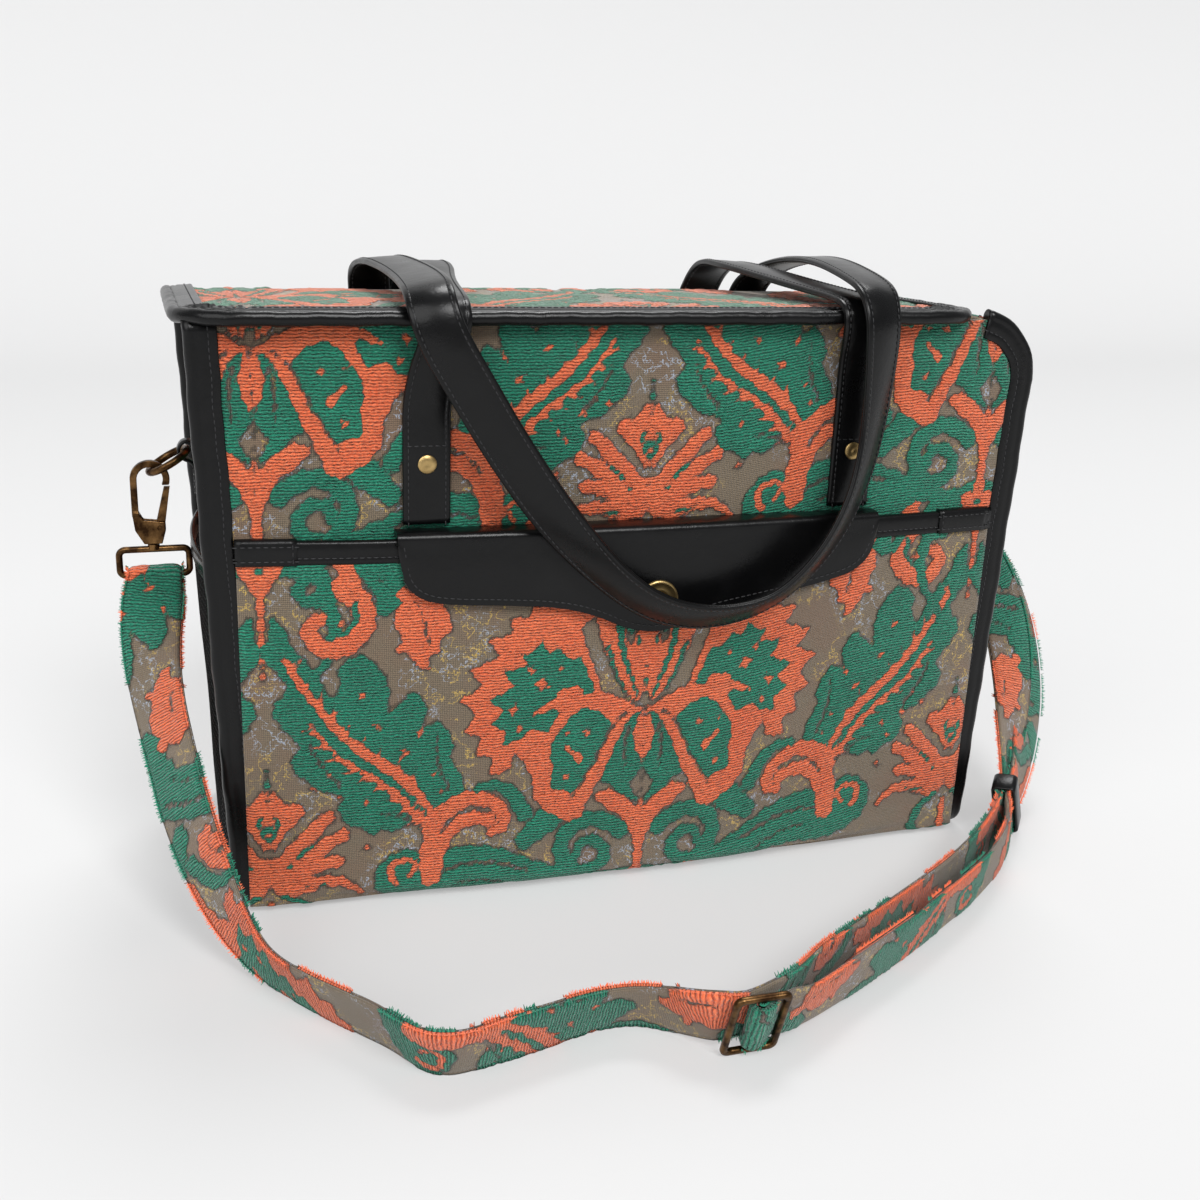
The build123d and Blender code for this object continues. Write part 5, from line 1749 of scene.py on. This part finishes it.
    def cast_hook(self, side: int) -> bpy.types.Object:
        """Make a snap hook with the rounded look of a casting."""
        name = "left" if side < 0 else "right"
        return cast_copy(f"hook_{name}", f"hook_{name}_casting", self.brass, f"hook_{name}_body", 0.34, 5)


def cast_copy(node: str, name: str, material: bpy.types.Material, body: str, grain: float,
    passes: int) -> bpy.types.Object:
    """Round off the edges of a CAD piece as a casting's are.

    Args:
        node: the CAD node that it replaces.
        name: the new piece's name.
        material: its material.
        body: the body it rides on.
        grain: the remesh's voxel, in millimetres.
        passes: how many smoothing passes.

    Returns:
        The new piece.
    """
    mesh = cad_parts[node].data.copy()
    work = bmesh.new()
    work.from_mesh(mesh)
    bmesh.ops.remove_doubles(work, verts=work.verts, dist=1e-6)
    work.to_mesh(mesh)
    work.free()
    obj = put(name, mesh)
    remesh = obj.modifiers.new("cast", "REMESH")
    remesh.mode = "VOXEL"
    remesh.voxel_size = grain * MM
    soften = obj.modifiers.new("soften", "SMOOTH")
    soften.factor = 0.5
    soften.iterations = passes
    final = baked(obj)
    obj.modifiers.clear()
    obj.data = final
    final.materials.clear()
    final.materials.append(material)
    final.polygons.foreach_set("use_smooth", [True] * len(final.polygons))
    settle(obj, body, [node])
    return obj


def turned(name: str, profile: Sequence[tuple[float, float]], place: Point, axis: Point,
    material: bpy.types.Material,
           replaces: Sequence[str] = (), segments: int = 40) -> bpy.types.Object:
    """Turn a closed profile about an axis.

    Args:
        name: the piece's name.
        profile: radius and height pairs.
        place: where the axis starts.
        axis: its direction.
        material: its material.
        replaces: the CAD nodes it stands for.
        segments: around the axis.

    Returns:
        The piece.
    """
    up = Vector(axis).normalized()
    aside = up.orthogonal().normalized()
    third = up.cross(aside)
    rings = []
    for k in range(segments):
        a = 2 * math.pi * k / segments
        out = aside * math.cos(a) + third * math.sin(a)
        rings.append([tuple(Vector(place) + out * max(r, 0.0) + up * h) for r, h in profile])
    grid = np.array(rings)
    count = len(profile)
    faces = grid_faces(segments, count)
    last = (segments - 1) * count
    faces += [(last + c, last + c + 1, c + 1, c) for c in range(count - 1)]
    if profile[0][0] > 1e-6 or profile[-1][0] > 1e-6:
        faces += [((k * count) + count - 1, ((k + 1) % segments) * count + count - 1, ((k + 1) % segments) * count,
            k * count) for k in range(segments)]
    piece = make_object(name, grid.reshape(-1, 3), faces, material, replaces=replaces)
    weld(piece)
    return piece


def weld(obj: bpy.types.Object) -> None:
    """Merge a piece's doubled points and turn its faces outward."""
    work = bmesh.new()
    work.from_mesh(obj.data)
    bmesh.ops.remove_doubles(work, verts=work.verts, dist=2e-6)
    bmesh.ops.dissolve_degenerate(work, edges=work.edges, dist=1e-7)
    bmesh.ops.recalc_face_normals(work, faces=work.faces)
    work.to_mesh(obj.data)
    work.free()


# ---- shoulder strap -------------------------------------------------------------------
@dataclass
class ShoulderStrap:
    """The carpet strap, its slider and its keeper."""

    carpet: bpy.types.Material
    leather: bpy.types.Material
    width: float = 30.0
    narrow: float = 26.4
    thickness: float = 3.0
    hang_x: float = 227.209
    bar_z: float = 153.05
    wrap: float = 3.4
    slider: Point = (0.0, -240.0, 17.9)
    lean: float = math.radians(20.0)
    keeper: Point = (219.6, -84.4, 19.2)
    front_cloth: float = 66.0
    back_cloth: float = 118.0
    cloth_start: float = 40.0

    def over_bar(self, side: int, across: float, forward: float) -> list[tuple[float, ...]]:
        """The strap's turn over an eye's bar."""
        turns = [math.radians(d) for d in (0, 45, 90, 135, 180)]
        spots = [(-forward * self.wrap * math.cos(a), self.bar_z + self.wrap * math.sin(a)) for a in turns]
        return [(side * self.hang_x, y, z, across, 0, 0, self.narrow) for y, z in spots]

    def by_slider(self, along: float, front: float) -> tuple[float, ...]:
        """A station beside the slider."""
        c, s = math.cos(self.lean), math.sin(self.lean)
        x, y, z = self.slider
        return (x + along, y - front * c, z - front * s, 0, -s, c, self.width)

    @staticmethod
    def keeper_axes() -> tuple[Vector, Vector]:
        """The way along the strap inside the keeper, and the way across it."""
        ahead = Vector((0.59, 0.71, 0.37)).normalized()
        across = Vector((-0.45, -0.35, 0.82))
        return ahead, (across - ahead * across.dot(ahead)).normalized()

    def in_keeper(self, along: float, side: int) -> tuple[float, ...]:
        """A station of the inner (-1) or outer (1) layer inside the keeper."""
        ahead, across = self.keeper_axes()
        place = Vector(self.keeper) + ahead * along + ahead.cross(across) * side * (self.thickness / 2 + 0.3)
        return (*place, *across, self.width)

    def route(self) -> list[tuple[float, ...]]:
        """Every station of the strap, from the left eye to the slider's bar."""
        h, w, n, tuck = self.hang_x, self.width, self.narrow, 3.4
        spots = [(-h, 6.4, 127.05, 1, 0, 0, n), (-h, 4.4, 141.05, 1, 0, 0, n), *self.over_bar(-1, 1, -1)]
        spots += [(*s, w) for s in ((-229, -7, 142, 1, -0.15, 0), (-231, -13, 128, 0.93, -0.36, 0.05),
            (-231, -22, 113, 0.82, -0.55, 0.12), (-229, -38, 97, 0.72, -0.66, 0.22),
            (-225, -57, 80, 0.68, -0.68, 0.27), (-221, -77, 63, 0.66, -0.70, 0.26),
            (-215, -96, 48, 0.62, -0.74, 0.25), (-208, -113, 34, 0.56, -0.78, 0.3), (-201, -127, 24, 0.4, -0.75, 0.5),
            (-193, -140, 17, 0.2, -0.66, 0.72), (-184, -153, 14.2, 0.0, -0.58, 0.81),
            (-174, -168, 14.2, -0.04, -0.52, 0.85), (-161, -184, 14.2, 0.0, -0.52, 0.85),
            (-150, -197, 14.4, -0.04, -0.5, 0.86), (-141, -212, 14.6, -0.08, -0.44, 0.9),
            (-133, -222, 14.8, -0.1, -0.4, 0.91), (-122, -225, 14.8, -0.15, -0.38, 0.91),
            (-106, -220.5, 14.8, -0.2, -0.36, 0.91), (-88, -217, 14.8, -0.2, -0.36, 0.91),
            (-70, -212, 14.8, -0.2, -0.38, 0.9), (-54, -209, 14.6, -0.2, -0.4, 0.89),
            (-40, -211, 14.8, -0.18, -0.38, 0.9), (-28, -220, 15.6, -0.12, -0.36, 0.93))]
        spots += [self.by_slider(-19, -tuck - 4), self.by_slider(-9, -tuck - 2), self.by_slider(2, -tuck - 3.8),
            self.by_slider(13, -tuck - 7)]
        spots += [(*s, w) for s in ((29, -217, 15.6, -0.05, -0.3, 0.95), (45, -204, 15.0, -0.08, -0.28, 0.95),
            (65, -193, 15.0, -0.1, -0.28, 0.95), (88, -180, 15.0, -0.1, -0.28, 0.95),
            (122, -160, 15.0, -0.12, -0.28, 0.95), (143, -147, 15.0, -0.12, -0.28, 0.95),
            (163, -133, 15.2, -0.15, -0.28, 0.95), (182, -118, 15.5, -0.22, -0.3, 0.92),
            (198, -104, 16.2, -0.33, -0.33, 0.88))]
        spots += [self.in_keeper(-9, -1), self.in_keeper(8, -1)]
        spots += [(*s, w) for s in (
            (231, -65, 35, -0.62, -0.33, 0.7), (240, -50, 52, -0.8, -0.2, 0.5), (247, -36, 72, -0.93, -0.08, 0.3),
            (249, -24, 94, -0.98, 0, 0.15), (246, -15, 114, -1, 0, 0.05), (238, -9, 132, -1, 0, 0))]
        spots += [(230, -5.5, 144, -1, 0, 0, n), *self.over_bar(1, -1, 1), (233, 6.5, 143, -1, 0, 0, n)]
        spots += [(*s, w) for s in (
            (245, 8, 131, -0.95, 0.1, -0.2), (257, 6, 115, -0.95, 0.1, -0.1), (264, 0, 98, -0.97, 0.1, 0.05),
            (267, -10, 80, -0.95, 0, 0.2), (264, -25, 61, -0.9, -0.1, 0.35), (255, -43, 43, -0.78, -0.2, 0.55),
            (240, -64, 29, -0.6, -0.32, 0.72))]
        spots += [self.in_keeper(8, 1), self.in_keeper(-9, 1)]
        spots += [(*s, w) for s in ((206, -108, 16.5, -0.3, -0.33, 0.89), (189, -128, 15.2, -0.2, -0.3, 0.93),
            (168, -146, 15.0, -0.15, -0.28, 0.95), (148, -160, 15.0, -0.14, -0.28, 0.95),
            (126, -174, 15.0, -0.13, -0.28, 0.95), (101, -190, 15.0, -0.12, -0.3, 0.94),
            (78, -203, 15.0, -0.1, -0.3, 0.94), (58, -214, 15.0, -0.1, -0.32, 0.94),
            (38, -225, 15.4, -0.06, -0.34, 0.94), (22, -233, 16.2, 0, -0.34, 0.94))]
        spots += [self.by_slider(11.5, -tuck - 0.9), self.by_slider(6.5, -0.5)]
        spots += [self.by_slider(-tuck * math.sin(a), tuck * math.cos(a))
            for a in (math.radians(d) for d in (-20, 20, 60, 100, 140))]
        return spots

    def build(self, fringe: FringeMaker) -> bpy.types.Object:
        """Make the strap.

        Args:
            fringe: the node tree of its stray fibres.

        Returns:
            The strap.
        """
        spots = np.array(self.route(), float)
        ahead = unit(np.gradient(spots[:, :3], axis=0))
        across = unit(spots[:, 3:6] - ahead * np.sum(spots[:, 3:6] * ahead, 1, keepdims=True))
        centre = smooth_line(spots[:, :3], 8)
        aside = smooth_line(spots[:, :3] + across * 10.0, 8) - centre
        wide = smooth_line(np.column_stack([spots[:, :2], spots[:, 6]]), 8)[:, 2:]
        both = resample(np.column_stack([centre, aside, wide]), 1.9)
        line, width = both[:, :3], both[:, 6]
        side, out = frames_along(line, both[:, 3:6])
        run = arc_lengths(line)
        half = np.linspace(-1.0, 1.0, 14)
        face = np.sqrt(np.clip(1.0 - np.abs(half) ** 8, 0.0, 1.0)) * 0.95 + 0.05
        rows = len(line)
        section_x = np.concatenate([half * 0.965, [0.995, 0.90], half * -0.965, [-0.995, -0.90]])
        section_y = np.concatenate([-face * 1.22, [-0.62, 0.0], face * 1.22, [0.62, 0.0]])
        count = len(section_x)
        x = section_x[None] * (width[:, None] / 2)
        cloth_x = np.where(section_y[None] < 0, x + self.front_cloth, -x + self.back_cloth)
        cloth_z = run[:, None] + self.cloth_start + 0 * x
        numbers = PATTERN.numbers(cloth_x, cloth_z)
        top = np.maximum(numbers["coral"], numbers["green"])
        pile = np.clip((top + 0.6) / 1.8, 0, 1) * 0.55
        middle = np.abs(section_y)[None] > 0.3
        ripple = 0.14 * np.sin(run[:, None] * 1.7 + x * 0.15)
        y = section_y[None] + np.sign(section_y)[None] * (pile + ripple * (pile > 0)) * middle
        points = line[:, None] + side[:, None] * x[..., None] + out[:, None] * y[..., None]
        faces = grid_faces(rows, count, closed=True)
        faces += [tuple(range(count))[::-1], tuple((rows - 1) * count + c for c in range(count))]
        handed = float(np.dot(np.cross(side[0], out[0]), line[1] - line[0]))
        if handed < 0:
            faces = [f[::-1] for f in faces]
        flat = np.stack([cloth_x, cloth_z], -1).reshape(-1, 2)
        double = {key: v.ravel() for key, v in numbers.items()}
        piece = make_object("shoulder_strap_webbing", points.reshape(-1, 3), faces, self.carpet,
            numbers=double, flat=flat, replaces=["shoulder_strap"])
        fibres = self.fringe(line, side, out, width, run, fringe)
        return piece

    def fringe(self, line: np.ndarray, side: np.ndarray, out: np.ndarray, width: np.ndarray, run: np.ndarray,
        maker: FringeMaker) -> bpy.types.Object:
        """Make the stray pile fibres along the strap's edges.

        Args:
            line: the strap's line.
            side: across directions.
            out: outward directions.
            width: the strap's width along it.
            run: distance along it.
            maker: the fibres' node tree.

        Returns:
            The fibres.
        """
        places, aims, coral, green = [], [], [], []
        fine = np.arange(4.0, run[-1] - 4.0, 0.5)
        for edge in (-1.0, 1.0):
            for layer in (-1.0, 1.0):
                across, up, base = (rows_at(fine, run, rows) for rows in (side, out, line))
                half = np.interp(fine, run, width)[:, None] / 2
                spot = base + across * edge * (half - 0.6) + up * layer * 1.15
                x = (half[:, 0] - 0.6) * edge
                cloth = np.where(layer < 0, x + self.front_cloth, -x + self.back_cloth)
                depth = PATTERN.numbers(cloth, fine + self.cloth_start)
                keep = (np.maximum(depth["coral"], depth["green"]) > -0.2) & (spot[:, 2] > 3.2)
                places.append(spot[keep])
                aims.append((across * edge + up * layer * 0.55)[keep])
                coral.append(depth["coral"][keep])
                green.append(depth["green"][keep])
        places_all = np.concatenate(places)
        mesh = bpy.data.meshes.new("fibre_roots")
        mesh.from_pydata((places_all * MM).tolist(), [], [])
        add_numbers(mesh, {"out": np.concatenate(aims), "coral": np.concatenate(coral), "green": np.concatenate(green)})
        guide = put("fibre_roots", mesh)
        piece = maker.make("shoulder_strap_fringe", guide, {"Length": 1.7 * MM, "Radius": 0.3 * MM, "Spread": 0.55,
            "Material": self.carpet})
        settle(piece)
        return piece

    def keeper_loop(self) -> bpy.types.Object:
        """Make the leather loop that holds both layers of the strap."""
        ahead, across = (np.array(way) for way in self.keeper_axes())
        up = np.cross(ahead, across)
        half_w, half_h, radius = 15.6 + 1.0, 4.7 + 1.0, 2.6
        ring = []
        for cx, cy, begin in ((1, 1, 0), (-1, 1, 90), (-1, -1, 180), (1, -1, 270)):
            for d in range(0, 91, 18):
                a = math.radians(begin + d)
                ring.append((cx * (half_w - radius) + radius * math.cos(a), cy * (half_h - radius)
                    + radius * math.sin(a)))
        line = np.array(self.keeper) + np.array([across * x + up * y for x, y in ring])
        outward = unit(np.array([across * x / half_w + up * y / half_h * 1.6 for x, y in ring]))
        section = [(-5.9, -0.5), (-5.5, -0.95), (5.5, -0.95), (5.9, -0.5), (5.9, 0.5), (5.3, 0.95), (0, 1.05),
            (-5.3, 0.95), (-5.9, 0.5)]
        points, faces = sweep(line, ahead + 0 * line, outward, section, closed=True)
        piece = make_object("strap_keeper_loop", points, faces, self.leather, replaces=["strap_keeper"])
        tidy_normals(piece)
        return piece


# ---- studio ---------------------------------------------------------------------------
@dataclass
class Studio:
    """The pale floor, the soft lights and the camera."""

    focal: float = 1430.0
    place: Point = (-228.3, -703.1, 370.7)
    yaw: float = 18.215
    pitch: float = 18.353
    roll: float = 2.325
    paper: Colour = (0.36, 0.36, 0.36)
    glow: float = 0.36

    def build(self) -> None:
        """Make everything."""
        self.backdrop()
        self.lights()
        self.camera()

    def backdrop(self) -> None:
        """Make the floor that curves up into a wall."""
        paint = Paint("studio_paper", 1.0)
        fine = paint.noise(paint.place(), 40.0, 2.0)
        paint.give("Base Color", paint.mix(self.paper, tuple(c * 0.99 for c in self.paper), fine))
        paint.give("Emission Color", (1.0, 1.0, 1.0))
        paint.give("Emission Strength", self.glow)
        paint.give("Specular IOR Level", 0.0)
        profile = [(-3000.0, 0.0), (1500.0, 0.0)]
        profile += [(1500 + 900 * math.sin(a), 900 * (1 - math.cos(a))) for a in np.linspace(0.1, math.pi / 2, 14)]
        profile += [(2400.0, 3200.0)]
        x = np.linspace(-4500, 4500, 3)
        points = np.array([[(c, y, z) for c in x] for y, z in profile])
        mesh = bpy.data.meshes.new("studio_floor")
        mesh.from_pydata((points.reshape(-1, 3) * MM).tolist(), [], grid_faces(len(profile), 3, flip=False))
        mesh.polygons.foreach_set("use_smooth", [True] * len(mesh.polygons))
        mesh.materials.append(paint.material)
        obj = put("studio_floor", mesh)

    def lights(self) -> None:
        """Make the soft boxes and the even room light."""
        world = bpy.data.worlds.new("studio_air")
        world.use_nodes = True
        world.node_tree.nodes["Background"].inputs[0].default_value = (0.95, 0.97, 1.0, 1.0)
        world.node_tree.nodes["Background"].inputs[1].default_value = 0.28
        bpy.context.scene.world = world
        for name, toward, angle, power in (
            ("overhead_light", (0.25, 0.5, 1.0), 24.0, 1.75),
            ("left_light", (-0.9, -0.75, 0.8), 50.0, 1.45),
            ("front_light", (0.2, -0.95, 1.0), 26.0, 2.3),
        ):
            data = bpy.data.lights.new(name, "SUN")
            data.angle = math.radians(angle)
            data.energy = power
            lamp = bpy.data.objects.new(name, data)
            lamp.rotation_euler = Vector(toward).to_track_quat("Z", "Y").to_euler()
            bpy.context.scene.collection.objects.link(lamp)
        bpy.context.scene.view_settings.view_transform = "Standard"

    def camera(self) -> None:
        """Make the camera."""
        yaw, pitch, roll = (math.radians(v) for v in (self.yaw, self.pitch, self.roll))
        ahead = Vector((math.sin(yaw) * math.cos(pitch), math.cos(yaw) * math.cos(pitch), -math.sin(pitch)))
        right = Vector((math.cos(yaw), -math.sin(yaw), 0.0))
        up = right.cross(ahead)
        turned_right = right * math.cos(roll) + up * math.sin(roll)
        turned_up = up * math.cos(roll) - right * math.sin(roll)
        turn = Matrix((turned_right, turned_up, -ahead)).transposed()
        data = bpy.data.cameras.new("view")
        data.sensor_width = 36.0
        data.lens = self.focal / 1200.0 * 36.0
        data.clip_start = 0.01
        obj = bpy.data.objects.new("view", data)
        obj.matrix_world = Matrix.Translation(Vector(self.place) * MM) @ turn.to_4x4()
        bpy.context.scene.collection.objects.link(obj)
        bpy.context.scene.camera = obj


def dress(node: str, material: bpy.types.Material) -> None:
    """Give a CAD node its finish."""
    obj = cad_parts[node]
    obj.data.materials.clear()
    obj.data.materials.append(material)


def main() -> None:
    """Build the bag."""
    logging.basicConfig(level=logging.INFO, format="%(name)s: %(message)s")
    leather = LeatherFinish().build()
    thread = ThreadFinish().build()
    carpet = CarpetFinish().build()
    antique = MetalFinish("antique_brass", (0.24, 0.13, 0.05), (0.028, 0.013, 0.006), 0.26, 0.97).build()
    gold = MetalFinish("gold_brass", (0.62, 0.44, 0.19), (0.25, 0.16, 0.06), 0.3, 0.5).build()
    net = PlainClothFinish("net_yarn", (0.012, 0.012, 0.013), 0.4).build()
    lining = PlainClothFinish("lining_cloth", (0.03, 0.028, 0.026)).build()
    board = PlainClothFinish("base_board_cloth", (0.10, 0.09, 0.08)).build()

    # the lid's carpet has a painted sheen: its base colour is paled toward peach
    carpets = Carpets(carpet, CarpetFinish("woven_carpet_lid_painted_sheen", sheen=0.5, pale=0.1).build())
    for piece in (carpets.front(), carpets.back(), carpets.end(-1), carpets.end(1), carpets.pocket(), carpets.lid()):
        LOG.info("laid %s with %d faces", piece.name, len(piece.data.polygons))
    work = Leatherwork(leather, thread, SeamMaker())
    work.binding(-1)
    work.binding(1)
    work.lid_trim()
    work.pocket_trim()
    work.flap()
    work.stitch("body_stitches")
    work.handle("rear_handle", REAR_HANDLE)
    work.handle("front_handle", FRONT_HANDLE)
    work.stitch("handle_stitches")

    fittings = EndFittings(leather, net, antique)
    nets = NetMaker()
    for side in (-1, 1):
        fittings.net_pocket(side, nets)
        fittings.hem(side, work)
        fittings.tab(side, work)
        fittings.cast_hook(side)
        name = "left" if side < 0 else "right"
        for node in ("ring", "hook_gate", "gate_pin", "strap_eye"):
            dress(f"{node}_{name}", antique)
    work.stitch("end_stitches")
    rivet = [(0.0, 1.05), (0.7, 1.1), (1.3, 1.25), (2.4, 1.25), (3.3, 1.0), (3.9, 0.7), (4.2, 0.55), (4.4, 0.3),
        (4.4, 0.0), (0.0, -0.4)]
    for x in (-107.0, 107.0):
        for out in (-1.0, 1.0):
            name = f"rivet_{'front' if out < 0 else 'rear'}_{'left' if x < 0 else 'right'}"
            turned(name, rivet, (x, out * (LEG_Y + 1.62), 222.0), (0.0, out, 0.0), gold,
                ["handle_rivets"], 28)
    disc = [(4.2, 0.2), (4.3, 1.3), (4.9, 1.6), (5.6, 1.35), (8.0, 1.3), (8.7, 1.6), (9.5, 1.45), (10.0, 0.8),
        (9.9, 0.1), (4.4, 0.0)]
    turned("snap_rosette", disc, (3.5, -88.55, 154.5), (0.0, -1.0, 0.0), gold, ["snap_disc"], 56)
    dress("snap_stud", gold)
    dress("slider_frame", antique)
    dress("slider_bar", antique)
    dress("lining", lining)
    dress("base_board", board)

    strap = ShoulderStrap(carpet, leather)
    strap.build(FringeMaker())
    strap.keeper_loop()
    Studio().build()


if __name__ == "__main__":
    main()
